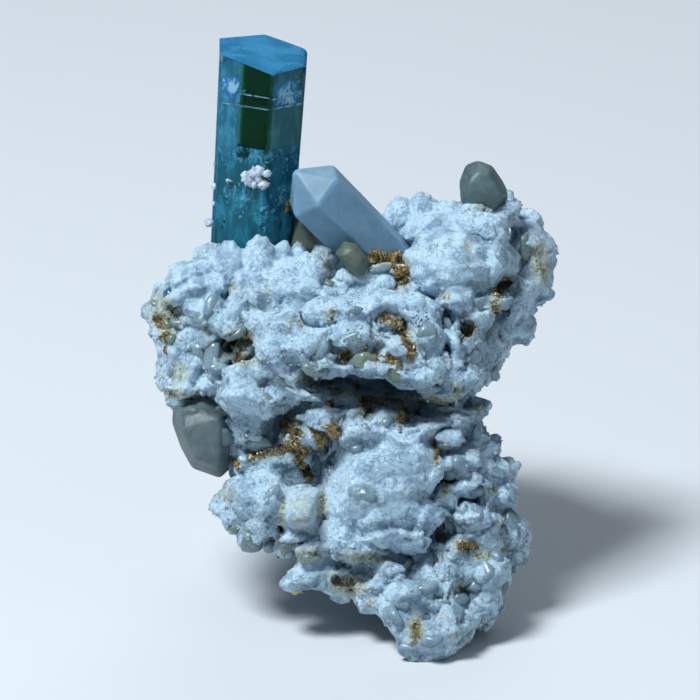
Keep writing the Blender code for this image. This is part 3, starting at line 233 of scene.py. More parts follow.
# ---------------------------------------------------------------- quartz grains and albite blocks
# Each row is (u, v, half_u, half_v, roll, tone): tone 0 is blue-grey quartz and 1 olive quartz.
QUARTZ_GRAINS = (
    (-12.5, 15.4, 1.9, 1.7, -20, 0.15), (-10.2, 14.8, 1.4, 1.4, 10, 0.2), (-8.0, 14.8, 1.2, 1.5, 0, 0.6),
    (-24.0, 43.6, 1.0, 0.8, 20, 1.0), (-23.0, 42.2, 1.1, 0.9, -10, 1.0), (-22.4, 40.6, 0.9, 0.9, 0, 0.8),
    (-24.6, 45.0, 0.7, 0.6, 0, 0.7), (-21.6, 42.6, 1.0, 1.2, 30, 0.5), (-22.6, 44.6, 0.9, 0.8, 0, 1.0),
    (-13.0, 39.6, 1.3, 0.9, 40, 0.9), (-12.3, 38.2, 1.2, 0.8, 10, 0.6), (1.8, 37.5, 2.0, 1.5, 0, 0.8),
    (5.7, 36.4, 1.8, 1.3, -10, 0.9), (0.2, 40.6, 2.7, 1.3, 8, 0.3), (4.0, 40.1, 1.8, 0.8, -10, 0.5),
    (9.3, 41.1, 1.7, 1.5, 0, 0.3), (12.0, 42.4, 0.9, 1.6, 0, 0.2), (15.5, 44.6, 2.3, 0.8, 30, 0.2),
    (-17.3, 44.2, 1.0, 2.0, -12, 0.05), (-14.3, 41.3, 2.1, 0.9, 36, 0.4), (-12.6, 39.2, 1.3, 1.0, 0, 0.4),
    (-19.0, 38.6, 1.4, 1.8, 0, 0.15), (-17.2, 38.3, 1.1, 2.0, -12, 0.2), (-16.7, 36.9, 1.4, 0.9, 10, 0.1),
    (-8.2, 35.2, 1.6, 0.9, -5, 0.3), (-10.3, 33.0, 1.7, 0.55, -20, 0.35), (-9.0, 31.8, 1.7, 0.6, -22, 0.35),
    (1.8, 20.8, 2.0, 1.2, -20, 0.15), (0.8, 27.0, 1.6, 0.75, 0, 0.1), (2.0, 29.3, 0.7, 0.6, 0, 0.2),
    (10.0, 19.9, 3.0, 0.8, -30, 0.15), (4.7, 29.9, 1.1, 0.8, 0, 0.2), (-12.3, 14.9, 1.6, 1.2, 25, 0.45),
    (-10.3, 14.9, 0.9, 0.8, 0, 0.4), (-8.4, 14.1, 0.7, 1.0, 0, 0.6), (-6.8, 14.3, 0.9, 0.8, 0, 0.4),
    (-14.6, 16.7, 1.1, 0.6, -30, 0.8), (-9.9, 20.8, 1.0, 1.8, -20, 0.1), (-6.0, 9.6, 1.8, 0.8, 5, 0.0),
    (-3.8, 9.8, 1.2, 1.0, 0, 0.0), (10.6, 12.4, 0.8, 2.0, -8, 0.5), (11.3, 15.0, 1.1, 1.2, 0, 0.8),
    (9.0, 9.3, 1.9, 0.9, 12, 0.1), (3.2, 9.0, 1.3, 1.0, 0, 0.1), (12.0, 26.2, 1.3, 0.9, 0, 0.2),
    (14.4, 27.2, 1.0, 0.8, 0, 0.1), (16.0, 28.6, 1.0, 1.7, 0, 0.1), (13.5, 34.2, 0.7, 1.1, 0, 0.7),
    (14.4, 18.8, 0.9, 1.4, 25, 0.0), (16.0, 18.9, 0.8, 1.2, 25, 0.0), (12.9, 18.2, 0.8, 1.2, 25, 0.05),
    (20.4, 17.2, 1.3, 2.2, 0, 0.2), (19.9, 13.0, 1.3, 1.7, 10, 0.1), (-4.4, 24.6, 0.8, 1.5, 12, 0.3),
    (-3.0, 26.0, 1.1, 0.9, 0, 0.4), (-4.2, 36.8, 2.3, 1.2, -20, 0.5), (16.3, 32.0, 0.7, 0.6, 0, 0.9),
    (-2.6, 47.2, 0.8, 1.1, 0, 0.7), (3.5, 49.2, 1.8, 0.5, 16, 0.4), (17.5, 41.2, 1.5, 1.9, 0, 0.1),
    (15.2, 38.6, 1.3, 1.4, 0, 0.2), (17.8, 36.2, 1.2, 1.3, 0, 0.2), (16.6, 33.6, 0.9, 1.1, 0, 0.3),
    (14.0, 30.4, 1.5, 0.7, 0, 0.1), (17.0, 11.4, 2.3, 1.8, 15, 0.05), (13.4, 7.8, 1.6, 1.1, 30, 0.05),
    (15.6, 8.4, 1.2, 1.5, -20, 0.1), (16.8, 5.7, 1.1, 0.9, 0, 0.1), (13.6, 3.9, 1.3, 0.8, 30, 0.15),
    (11.6, 7.3, 1.5, 0.9, -20, 0.1), (9.6, 5.4, 1.3, 0.9, 10, 0.1), (19.4, 9.4, 0.9, 1.5, 20, 0.1),
    (20.9, 12.1, 0.7, 1.3, 10, 0.1), (18.9, 6.7, 0.8, 1.0, 0, 0.2), (16.0, 9.8, 1.8, 1.3, 25, 0.0),
    (13.2, 6.0, 1.7, 1.2, 35, 0.0), (18.2, 12.9, 1.6, 1.2, 0, 0.05), (10.9, 9.2, 1.3, 1.0, -30, 0.1),
    (6.4, 7.6, 1.5, 1.6, 0, 0.05), (5.4, 5.4, 1.4, 1.8, 20, 0.0), (7.4, 1.9, 1.4, 1.2, 0, 0.0),
    (10.4, 3.0, 1.6, 1.3, 0, 0.0), (14.2, 16.8, 1.6, 1.0, 10, 0.1), (18.4, 19.0, 1.3, 1.5, 0, 0.05),
    (15.4, 21.4, 1.3, 1.2, 20, 0.1), (12.4, 23.8, 1.2, 1.0, 0, 0.1), (7.6, 29.5, 1.6, 0.6, -12, 0.2),
    (-5.2, 13.0, 1.5, 0.8, 0, 0.6), (4.6, 34.4, 2.4, 0.8, -8, 0.6), (-1.0, 34.9, 1.8, 0.8, 0, 0.6),
    (9.6, 34.4, 1.9, 0.8, -6, 0.5), (-11.8, 27.5, 2.6, 1.2, -8, 0.3), (22.3, 52.4, 0.7, 2.0, 0, 0.5),
    (-16.9, 31.0, 1.6, 0.9, 30, 0.3), (18.9, 50.6, 0.9, 1.9, 5, 0.1), (-20.9, 32.8, 0.9, 0.6, 0, 0.5),
    (-18.4, 32.6, 0.8, 0.6, 0, 0.4), (0.3, 43.9, 1.3, 0.7, 20, 0.15), (13.7, 24.6, 1.2, 1.4, 10, 0.1),
    (16.7, 26.6, 1.0, 1.1, 0, 0.1), (18.1, 23.7, 1.5, 0.9, -20, 0.05), (20.4, 21.0, 0.8, 1.4, 20, 0.05),
    (7.2, 15.4, 0.9, 0.5, 0, 0.2), (-22.4, 36.6, 0.9, 1.4, 0, 0.15),
)
# White angular blocks and thin plates, in the same form; the last number is the share of the
# half width that stands above the rock.
ALBITE_BLOCKS = (
    (16.8, 11.2, 2.3, 1.8, 15, 0.4), (5.8, 8.5, 1.9, 1.6, 0, 0.4), (10.0, 7.7, 1.8, 1.5, 20, 0.4),
    (16.3, 7.2, 1.9, 1.4, -20, 0.4), (14.9, 25.3, 2.1, 1.7, 0, 0.4), (18.8, 24.0, 1.6, 1.9, 0, 0.4),
    (15.9, 17.7, 2.0, 1.6, 0, 0.4), (20.0, 16.1, 1.5, 2.2, 0, 0.4), (12.4, 28.0, 2.2, 1.4, 0, 0.4),
    (-6.6, 15.6, 1.8, 0.9, 8, 0.3), (-0.7, 48.2, 1.5, 1.2, 10, 0.5), (1.6, 48.2, 1.5, 1.3, -5, 0.5),
    (4.2, 47.3, 2.1, 1.3, 8, 0.5), (-2.6, 45.7, 1.4, 1.3, 0, 0.5), (6.0, 39.3, 1.3, 1.1, -30, 0.5),
    (4.1, 37.9, 0.9, 0.5, 0, 0.6), (-7.0, 34.1, 2.3, 0.6, -18, 0.6), (-5.4, 33.1, 2.0, 0.45, -8, 0.6),
    (5.4, 11.5, 1.7, 1.5, 10, 0.5), (8.4, 13.0, 0.7, 1.2, 20, 0.5), (8.2, 11.7, 0.5, 0.5, 0, 0.7),
    (-1.0, 29.8, 0.6, 1.1, 0, 0.5), (11.4, 10.7, 0.6, 0.9, 0, 0.6), (12.7, 13.1, 0.7, 0.6, 0, 0.7),
    (20.4, 24.1, 1.5, 0.8, 30, 0.5), (21.3, 20.7, 0.6, 1.4, 10, 0.5), (16.4, 17.0, 0.8, 0.7, 0, 0.6),
    (-12.2, 24.2, 0.7, 0.5, 0, 0.6), (-13.5, 25.3, 0.7, 0.6, 0, 0.7), (10.6, 51.9, 0.9, 0.6, 0, 0.3),
    (11.8, 46.7, 0.6, 0.7, 0, 0.5), (8.2, 46.9, 1.1, 0.7, -20, 0.4), (-9.6, 43.6, 1.4, 0.9, 30, 0.4),
    (-12.9, 43.3, 1.3, 1.0, -20, 0.4), (13.0, 31.5, 2.2, 0.5, -8, 0.6), (10.5, 31.4, 1.3, 0.5, 10, 0.5),
    (-14.7, 23.4, 0.8, 1.0, 30, 0.5), (3.4, 13.9, 1.6, 0.6, -12, 0.5), (0.6, 14.4, 1.6, 0.7, 8, 0.4),
    (17.8, 18.0, 0.9, 0.7, 0, 0.5), (12.0, 1.6, 0.7, 0.9, 0, 0.5), (13.6, 2.3, 0.7, 0.8, 0, 0.5),
    (15.0, 3.4, 0.8, 0.7, 30, 0.5), (17.2, 4.3, 0.6, 0.9, 0, 0.5), (18.6, 5.2, 0.6, 0.8, 0, 0.5),
    (9.6, 0.6, 0.8, 0.7, 0, 0.4), (14.9, 56.9, 1.1, 0.8, 0, 0.4), (19.8, 58.0, 1.0, 1.1, 20, 0.4),
    (-18.9, 51.0, 1.2, 0.9, 20, 0.4), (-21.6, 39.2, 1.5, 0.9, 10, 0.4), (-22.6, 35.0, 0.9, 0.7, 0, 0.4),
    (-22.9, 32.4, 0.5, 0.5, 0, 0.6),
)

# ---------------------------------------------------------------- mica on the sheet
# Each row is (u, v, u, v, width, books, size): books scattered along a line.
MICA_SEAMS = (
    (2.3, 50.7, 6.6, 50.6, 1.2, 30, 0.75), (6.3, 50.4, 6.6, 47.2, 1.1, 22, 0.7),
    (3.7, 43.3, 6.4, 42.3, 0.8, 14, 0.6), (6.4, 42.2, 7.7, 38.2, 0.9, 24, 0.6),
    (-1.5, 38.5, 0.2, 38.3, 0.8, 9, 0.5), (1.5, 39.8, 3.0, 38.4, 0.5, 8, 0.45),
    (3.0, 38.4, 6.3, 37.6, 0.6, 12, 0.45), (1.2, 33.4, 2.4, 31.2, 0.9, 14, 0.5),
    (6.7, 32.0, 6.7, 30.2, 1.2, 14, 0.5), (6.6, 30.3, 6.2, 28.9, 0.3, 5, 0.3),
    (-4.6, 27.5, -1.9, 29.2, 1.3, 30, 0.85), (-8.8, 29.9, -7.3, 29.6, 0.8, 10, 0.6),
    (-7.2, 29.2, -6.8, 27.2, 0.7, 12, 0.55), (-8.7, 27.1, -5.2, 26.3, 1.2, 26, 0.65),
    (-8.7, 26.8, -12.9, 25.5, 0.5, 20, 0.4), (-6.8, 26.0, -5.2, 22.6, 0.9, 24, 0.65),
    (-14.5, 25.5, -14.2, 24.2, 0.6, 9, 0.5), (-24.4, 42.4, -23.4, 43.4, 1.4, 14, 0.5),
    (-23.6, 41.4, -22.8, 40.4, 1.2, 12, 0.5), (-23.2, 39.5, -23.1, 38.5, 0.4, 6, 0.4),
    (-13.9, 41.6, -12.9, 40.8, 0.8, 10, 0.45), (-14.3, 38.4, -13.6, 37.9, 0.7, 9, 0.4),
    (13.6, 14.6, 15.6, 14.4, 0.7, 14, 0.5), (8.2, 5.0, 8.3, 3.4, 0.5, 9, 0.4),
    (-5.0, 53.3, -4.3, 52.5, 0.4, 6, 0.35), (18.3, 45.8, 19.7, 47.4, 0.6, 10, 0.4),
    (14.3, 41.3, 15.5, 42.2, 0.6, 8, 0.4), (10.9, 27.2, 10.9, 25.0, 0.4, 7, 0.35),
    (12.0, 22.7, 12.0, 21.1, 0.4, 7, 0.35), (-8.0, 57.9, -7.8, 56.2, 0.8, 7, 0.34),
    (-11.3, 60.6, -10.9, 60.1, 0.5, 12, 0.26), (17.8, 44.7, 18.5, 43.7, 0.5, 6, 0.35),
)


# ---------------------------------------------------------------- single crystals and beads
# Larger quartz pieces: outline on the sheet, middle w and half depth.
KNOB_OUTLINE = ((13.8, 60.6), (14.6, 62.7), (16.2, 63.3), (18.1, 62.6), (19.6, 60.4), (20.4, 58.6),
                (18.8, 55.4), (15.0, 55.6), (13.9, 58.2))
KNOB_DEPTH = (-12.0, 3.2)
NODULE_OUTLINE = ((-15.2, 23.9), (-16.4, 22.8), (-18.0, 23.5), (-20.0, 24.1), (-21.5, 26.8), (-22.6, 30.0),
                  (-22.4, 32.6), (-19.0, 34.0), (-15.2, 32.2), (-14.0, 28.6))
NODULE_DEPTH = (-9.6, 4.8)
OLIVE_FRONT_OUTLINE = ((-2.0, 51.2), (-0.9, 52.9), (0.8, 52.7), (2.3, 50.6), (2.0, 48.6), (0.9, 48.0),
                       (-0.6, 49.4))
OLIVE_FRONT_DEPTH = (-2.2, 1.6)
OLIVE_CLEFT_OUTLINE = ((-8.2, 51.2), (-8.2, 56.2), (-6.5, 57.4), (-5.2, 54.6), (-3.4, 52.7), (-3.2, 51.2),
                       (-5.0, 50.2))
OLIVE_CLEFT_DEPTH = (-11.6, 2.2)
# Each row is (u, v, w, half_u, half_v, half_w, roll), as for the lumps.
BLUE_BERYL = (-22.7, 46.1, -6.6, 0.9, 1.0, 1.3, 10)
QUARTZ_BEHIND = (1.3, 56.8, -10.4, 1.05, 3.0, 1.3, 18)
NODULE_PLATES = (
    (-16.5, 28.2, -5.4, 1.9, 1.3, 0.9, -8), (-18.6, 29.4, -5.6, 1.5, 0.9, 0.7, 12),
    (-19.2, 31, -6, 2.2, 1.3, 1.2), (-16, 31.6, -5.9, 1.3, 0.9, 0.8, 20),
)
# Each row is (du, dv, half width, half height) from the rosette's middle.
ROSETTE_LOBES = (
    (-0.85, 0.0, 0.70, 0.78), (-0.35, 0.55, 0.55, 0.52), (0.35, 0.6, 0.5, 0.46), (-0.3, -0.45, 0.52, 0.44),
    (0.95, 0.45, 0.36, 0.42), (0.62, -0.75, 0.42, 0.56), (0.1, 0.0, 0.5, 0.45), (-1.3, 0.35, 0.3, 0.32),
    (0.15, 0.95, 0.32, 0.3), (-0.75, -0.62, 0.28, 0.28), (1.3, -0.05, 0.2, 0.22),
)
ROSETTE_PLACE = (-11.65, 60.75)
# Each row is (u, v, half width, half height) of a bead on the prism.
PRISM_BEADS = (
    (-17.85, 55.2, 0.62, 0.58), (-17.15, 59.8, 0.36, 0.5), (-15.35, 60.5, 0.34, 0.24),
    (-14.95, 60.4, 0.2, 0.12), (-17.1, 62.6, 0.16, 0.36), (-17.2, 57.6, 0.22, 0.3), (-7.5, 57.9, 0.2, 0.26),
    (-7.9, 56.7, 0.16, 0.2),
)
# Wisps inside the prism: (u, v, half_u, half_v, roll), pale ones and dark ones.
PALE_WISPS = (
    (-15.2, 73.2, 0.30, 0.42, 15), (-15.3, 71.4, 0.26, 0.14, 0), (-14.6, 70.9, 0.34, 0.12, -18),
    (-14.1, 72.9, 0.09, 0.7, 0), (-6.5, 71.0, 0.3, 0.2, 20), (-7.0, 69.9, 0.9, 0.16, 6),
    (-13.4, 71.6, 0.7, 0.1, 2), (-7.2, 72.4, 0.7, 1.1, -20), (-15.7, 62.6, 0.9, 0.09, -16),
    (-12.6, 58.4, 0.9, 0.4, 30), (-8.3, 59.2, 0.8, 0.5, -40), (-9.4, 57.8, 0.6, 0.9, 10),
    (-13.8, 56.2, 0.6, 0.9, -15), (-11.9, 56.4, 0.5, 0.4, 0), (-15.5, 58.0, 0.4, 0.9, 8),
    (-11.0, 54.6, 0.8, 0.5, -30), (-8.4, 61.4, 0.3, 0.5, 0), (-12.6, 63.3, 1.8, 0.30, 0),
    (-9.6, 62.9, 1.2, 0.7, 0), (-8.0, 62.4, 1.0, 0.9, 0), (-7.3, 63.6, 0.6, 0.5, 0),
    (-10.6, 57.2, 1.2, 1.4, 0), (-13.2, 57.8, 1.0, 1.2, 0),
)
DARK_WISPS = (
    (-14.1, 59.7, 0.22, 0.9, 10), (-11.5, 56.3, 0.24, 0.8, -20), (-11.0, 54.7, 0.26, 0.8, 15),
    (-15.6, 75.6, 0.34, 0.34, 0), (-12.4, 60.2, 0.8, 0.9, 0), (-9.0, 55.4, 0.2, 0.9, 0),
    (-7.6, 57.0, 0.4, 0.9, 0), (-15.9, 55.4, 0.3, 0.8, 0),
)

# Colour, absorption colour and the other values of each veil in the prism, as VeilFinish takes them.
# Painted glow where light catches the healed crack, shared by both glow veils.
GLOW = ((0.72, 0.94, 1.0), (0.10, 0.50, 1.0), 1.3, 0.20, 0.44, 1.0)
VEILS = {
    # pale_zone paints light that comes through the left faces; grey_zone paints the dimmer, shaded light on
    # the right.
    "pale_zone": ((0.20, 0.66, 0.90), (0.05, 0.32, 0.50), 0.7, 0.1, 0.4, 0.88),
    "grey_zone": ((0.17, 0.44, 0.52), (0.075, 0.24, 0.30), 0.5, 0.1, 0.35, 0.80),
    # The glows paint light caught round the ends of the healed crack.
    "right_glow": (*GLOW, (-8.3, -0.8, 66.1), 2.7),
    "left_glow": (*GLOW, (-15.1, 0.6, 66.9), 2.3),
    "healed_crack": ((0.50, 0.80, 0.95), (0.14, 0.46, 0.62), 1.1, 0.40, 0.60, 0.75),
    # Painted highlight along the rim of the healed crack.
    "crack_highlight": ((0.75, 0.92, 1.0), (0.30, 0.62, 0.80), 1.6, 0.36, 0.54, 0.95),
    "milky_cloud": ((0.09, 0.54, 0.74), (0.018, 0.21, 0.31), 0.55, 0.12, 0.40, 0.97),
    "pale_wisps": ((0.50, 0.88, 1.0), (0.14, 0.52, 0.80), 2.5, 0.25, 0.50, 0.8),
    "dark_wisps": ((0.010, 0.05, 0.06), (0.004, 0.02, 0.03), 2.5, 0.34, 0.50, 0.7),
    "cloud_edge": ((0.16, 0.60, 0.86), (0.03, 0.26, 0.42), 1.2, 0.42, 0.60, 0.92),
    "blue_wisps": ((0.30, 0.80, 1.0), (0.04, 0.34, 0.56), 1.5, 0.50, 0.64, 0.9),
}


class Lump(NamedTuple):
    """A lump of rock: its middle and half sizes on the sheet, in millimetres, and its roll."""

    u: float
    v: float
    w: float
    half_u: float
    half_v: float
    half_w: float
    roll: float = 0.0


class Slot(str, Enum):
    """The finishes that the specimen's pieces take."""

    ROCK = "albite_rock"
    BERYL = "aquamarine"
    FROSTED = "frosted_quartz"
    SMOKY = "smoky_quartz"
    OLIVE = "olive_quartz"
    BEAD = "albite_bead"
    MICA = "mica"
    BLUE = "blue_beryl"


# ---------------------------------------------------------------- the sheet
@dataclass(frozen=True)
class Sheet:
    """The sloping sheet that carries every place of the specimen."""

    tilt: float
    shift: Vector

    def place(self, u: float, v: float, w: float) -> Vector:
        """World position, in metres, of a point of the sheet."""
        y = v * math.sin(self.tilt) - w * math.cos(self.tilt)
        z = v * math.cos(self.tilt) + w * math.sin(self.tilt)
        return Vector((u, y, z)) * MM + self.shift

    def axes(self) -> Matrix:
        """Rotation that turns sheet directions into world directions."""
        right = Vector((1, 0, 0))
        up = Vector((0, math.sin(self.tilt), math.cos(self.tilt)))
        return Matrix((right, up, right.cross(up))).transposed()

    def carry(self, u: float, v: float, w: float) -> Matrix:
        """Matrix from millimetres on the sheet, measured from one point, to world metres."""
        return Matrix.Translation(self.place(u, v, w)) @ self.axes().to_4x4() @ Matrix.Scale(MM, 4)

    def read(self, points: np.ndarray) -> np.ndarray:
        """Sheet coordinates, in millimetres, of world points in metres.

        Args:
            points: world positions, one row each.

        Returns:
            The (u, v, w) rows of the same points.
        """
        local = (points - np.array(self.shift)) / MM
        return local @ np.array(self.axes())


def read_sheet() -> Sheet:
    """The sheet, placed so that its prism stands where the frame's aquamarine does."""
    low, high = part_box("aquamarine")
    corners = Beryl.outline_mm()
    drawn_low = Vector([min(corner[axis] for corner in corners) for axis in range(3)])
    shift = low - drawn_low * MM
    shift.z = 0.0
    return Sheet(math.radians(SHEET_TILT), shift)


# ---------------------------------------------------------------- mesh helpers
def new_object(name: str, mesh: bpy.types.Mesh, finish: bpy.types.Material | None = None) -> bpy.types.Object:
    """Link a mesh to the scene as a named object, with a finish if one is given."""
    obj = bpy.data.objects.new(name, mesh)
    if finish:
        mesh.materials.append(finish)
    bpy.context.scene.collection.objects.link(obj)
    return obj


def mesh_from_arrays(name: str, points: np.ndarray, triangles: np.ndarray) -> bpy.types.Mesh:
    """Mesh from arrays of world points and of corner numbers.

    Args:
        name: the mesh's name.
        points: one row of three coordinates for each vertex.
        triangles: one row of three vertex numbers for each face.

    Returns:
        The new mesh.
    """
    mesh = bpy.data.meshes.new(name)
    mesh.vertices.add(len(points))
    mesh.vertices.foreach_set("co", points.astype(np.float32).ravel())
    mesh.loops.add(3 * len(triangles))
    mesh.loops.foreach_set("vertex_index", triangles.astype(np.int32).ravel())
    mesh.polygons.add(len(triangles))
    mesh.polygons.foreach_set("loop_start", np.arange(0, 3 * len(triangles), 3, dtype=np.int32))
    mesh.update(calc_edges=True)
    return mesh


def mesh_from_bmesh(name: str, bm: bmesh.types.BMesh) -> bpy.types.Mesh:
    """Finish a bmesh as a mesh with its faces pointing out."""
    bmesh.ops.recalc_face_normals(bm, faces=bm.faces)
    mesh = bpy.data.meshes.new(name)
    bm.to_mesh(mesh)
    bm.free()
    return mesh


def vertex_array(mesh: bpy.types.Mesh) -> np.ndarray:
    """The mesh's vertex positions as rows."""
    points = np.empty(3 * len(mesh.vertices), np.float32)
    mesh.vertices.foreach_get("co", points)
    return points.reshape(-1, 3).astype(float)


def vertex_normals(mesh: bpy.types.Mesh) -> np.ndarray:
    """The mesh's vertex normals as rows."""
    normals = np.empty(3 * len(mesh.vertices), np.float32)
    mesh.vertex_normals.foreach_get("vector", normals)
    return normals.reshape(-1, 3).astype(float)


def triangle_array(mesh: bpy.types.Mesh) -> np.ndarray:
    """The mesh's triangles as rows of vertex numbers."""
    mesh.calc_loop_triangles()
    corners = np.empty(3 * len(mesh.loop_triangles), np.int32)
    mesh.loop_triangles.foreach_get("vertices", corners)
    return corners.reshape(-1, 3)


def settle(obj: bpy.types.Object) -> bpy.types.Object:
    """Replace an object's mesh by what its modifiers make of it."""
    graph = bpy.context.evaluated_depsgraph_get()
    mesh = bpy.data.meshes.new_from_object(obj.evaluated_get(graph))
    obj.modifiers.clear()
    old = obj.data
    obj.data = mesh
    bpy.data.meshes.remove(old)
    return obj


def boolean(obj: bpy.types.Object, other: bpy.types.Object, operation: str) -> None:
    """Join or cut one closed mesh with another and keep the other."""
    modifier = obj.modifiers.new("boolean", "BOOLEAN")
    modifier.operation = operation
    modifier.solver = "MANIFOLD"
    modifier.object = other
    settle(obj)


def melt(obj: bpy.types.Object, voxel: float) -> None:
    """Melt overlapping shells into one skin of a given grain, in millimetres."""
    remesh = obj.modifiers.new("melt", "REMESH")
    remesh.mode = "VOXEL"
    remesh.voxel_size = voxel * MM
    settle(obj)


def smooth_modifier(obj: bpy.types.Object, rounds: int) -> None:
    """Add a smoothing modifier that isn't settled yet."""
    smooth = obj.modifiers.new("smooth", "SMOOTH")
    smooth.factor = 0.5
    smooth.iterations = rounds


def gather(objects: Sequence[bpy.types.Object]) -> tuple[np.ndarray, np.ndarray]:
    """Points and triangles of some objects, as of one mesh."""
    points, triangles, count = [], [], 0
    for obj in objects:
        points.append(vertex_array(obj.data))
        triangles.append(triangle_array(obj.data) + count)
        count += len(points[-1])
    return np.concatenate(points), np.concatenate(triangles)


def stand_on_floor(mesh: bpy.types.Mesh) -> None:
    """Flatten whatever reaches below the floor."""
    points = vertex_array(mesh)
    points[:, 2] = np.maximum(points[:, 2], 0.0)
    mesh.vertices.foreach_set("co", points.astype(np.float32).ravel())
    mesh.update()


def set_attribute(mesh: bpy.types.Mesh, name: str, values: np.ndarray) -> None:
    """Store one number for each vertex under a name."""
    attribute = mesh.attributes.get(name) or mesh.attributes.new(name, "FLOAT", "POINT")
    attribute.data.foreach_set("value", values.astype(np.float32))


def read_attribute(mesh: bpy.types.Mesh, name: str) -> np.ndarray:
    """The numbers stored under a name, one for each vertex."""
    values = np.empty(len(mesh.vertices), np.float32)
    mesh.attributes[name].data.foreach_get("value", values)
    return values


@lru_cache(maxsize=None)
def unit_ball(subdivisions: int) -> tuple[np.ndarray, np.ndarray]:
    """Points and triangles of a ball of radius one."""
    bm = bmesh.new()
    bmesh.ops.create_icosphere(bm, subdivisions=subdivisions, radius=1.0)
    points = np.array([vert.co[:] for vert in bm.verts])
    faces = np.array([[vert.index for vert in face.verts] for face in bm.faces])
    bm.free()
    return points, faces


def chipped_ball(points: np.ndarray, seed: int, flats: int, depth: float) -> np.ndarray:
    """Cut flat chips off a ball at random angles, as broken feldspar has them.

    Args:
        points: the ball's points, at radius one.
        seed: the seed of the chips' angles.
        flats: how many chips are cut.
        depth: the deepest chip, as a share of the radius.

    Returns:
        The points of the chipped ball.
    """
    rng = random.Random(seed)
    radius = np.ones(len(points))
    for _ in range(flats):
        normal = np.array([rng.gauss(0, 1) for _ in range(3)])
        normal /= np.linalg.norm(normal)
        reach = 1.0 - depth * rng.uniform(0.35, 1.0)
        facing = points @ normal
        hit = facing > reach
        radius[hit] = np.minimum(radius[hit], reach / facing[hit])
    return points * radius[:, None]


def rib_radius(points: np.ndarray, ribs: int, depth: float) -> np.ndarray:
    """Radius of a ball that has ribs fanning out from its front, one row for each point."""
    angle = np.arctan2(points[:, 1], points[:, 0])
    return (1.0 + depth * np.cos(ribs * angle) * np.hypot(points[:, 0], points[:, 1]))[:, None]


def size_matrix(half_u: float, half_v: float, half_w: float) -> Matrix:
    """Matrix that stretches a unit ball to three half sizes."""
    return Matrix.Diagonal((half_u, half_v, half_w, 1.0))


def lump_matrix(sheet: Sheet, lump: Lump, swell: float = 0.0) -> Matrix:
    """Matrix that carries a unit ball to a lump, swollen by some millimetres."""
    spin = Matrix.Rotation(math.radians(lump.roll), 4, "Z")
    stretch = size_matrix(lump.half_u + swell, lump.half_v + swell, lump.half_w + swell)
    return sheet.carry(lump.u, lump.v, lump.w) @ spin @ stretch


class ShellPile:
    """Collects closed shells that become one mesh."""

    def __init__(self) -> None:
        """Start empty."""
        self.points: list[np.ndarray] = []
        self.faces: list[np.ndarray] = []
        self.tones: list[np.ndarray] = []
        self.count = 0

    def add(self, points: np.ndarray, faces: np.ndarray, carry: Matrix, tone: float = 0.0) -> None:
        """Add one shell.

        Args:
            points: its points in its own frame.
            faces: its triangles.
            carry: matrix from its own frame to the world.
            tone: a number that its finish reads.
        """
        matrix = np.array(carry)
        self.points.append(points @ matrix[:3, :3].T + matrix[:3, 3])
        self.faces.append(faces + self.count)
        self.tones.append(np.full(len(points), tone))
        self.count += len(points)

    def add_lump(self, sheet: Sheet, row: tuple, seed: int, flats: int, depth: float, fineness: int = 3,
                 swell: float = 0.0, tone: float = 0.0) -> None:
        """Add one chipped ball.

        Args:
            sheet: the specimen's sheet.
            row: the values of its Lump.
            seed: the seed of its chips.
            flats: how many chips are cut.
            depth: the deepest chip, as a share of the radius.
            fineness: the ball's subdivisions.
            swell: how far it is swollen, in millimetres.
            tone: a number that its finish reads.
        """
        points, faces = unit_ball(fineness)
        self.add(chipped_ball(points, seed, flats, depth), faces, lump_matrix(sheet, Lump(*row), swell), tone)

    def build(self, name: str, finish: bpy.types.Material | None = None) -> bpy.types.Object:
        """The pile as one object, with each shell's tone as an attribute."""
        mesh = mesh_from_arrays(name, np.concatenate(self.points), np.concatenate(self.faces))
        set_attribute(mesh, "tone", np.concatenate(self.tones))
        return new_object(name, mesh, finish)


class Surface:
    """The finished rock as something that can be probed."""

    START = 60.0
    LOWEST = 4.5              # height above the floor under which nothing is set into the back

    def __init__(self, sheet: Sheet, objects: Sequence[bpy.types.Object]) -> None:
        """Gather the triangles of some objects into one search tree."""
        self.sheet = sheet
        points, triangles = gather(objects)
        self.tree = BVHTree.FromPolygons(points.tolist(), triangles.tolist())
        self.inward = (sheet.place(0, 0, -1) - sheet.place(0, 0, 0)).normalized()

    def around(self, count: int, seed: int) -> list[tuple[Vector, Vector]]:
        """Random places on the sides and on the back, with their normals."""
        rng = np.random.default_rng(seed)
        found = []
        while len(found) < count:
            middle = self.sheet.place(rng.uniform(-13, 13), rng.uniform(3, 53), -16.0)
            way = Vector(rng.normal(size=3)).normalized()
            if way.dot(self.inward) < 0.0:
                continue
            hit, normal, _, _ = self.tree.ray_cast(middle + way * self.START * MM, -way)
            if hit is not None and hit.z > self.LOWEST * MM:
                found.append((hit, normal))
        return found

    def front(self, u: float, v: float) -> tuple[float, Vector] | None:
        """Where the surface lies under a place of the sheet.

        Args:
            u: place to the right, in millimetres.
            v: place up the sheet, in millimetres.

        Returns:
            Its w and its normal, or None where there is nothing.
        """
        start = self.sheet.place(u, v, self.START)
        hit, normal, _, distance = self.tree.ray_cast(start, self.inward)
        if hit is None:
            return None
        return self.START - distance / MM, normal


# ---------------------------------------------------------------- node helpers
Input = float | tuple | str | Vector | bpy.types.NodeSocket | bpy.types.ID


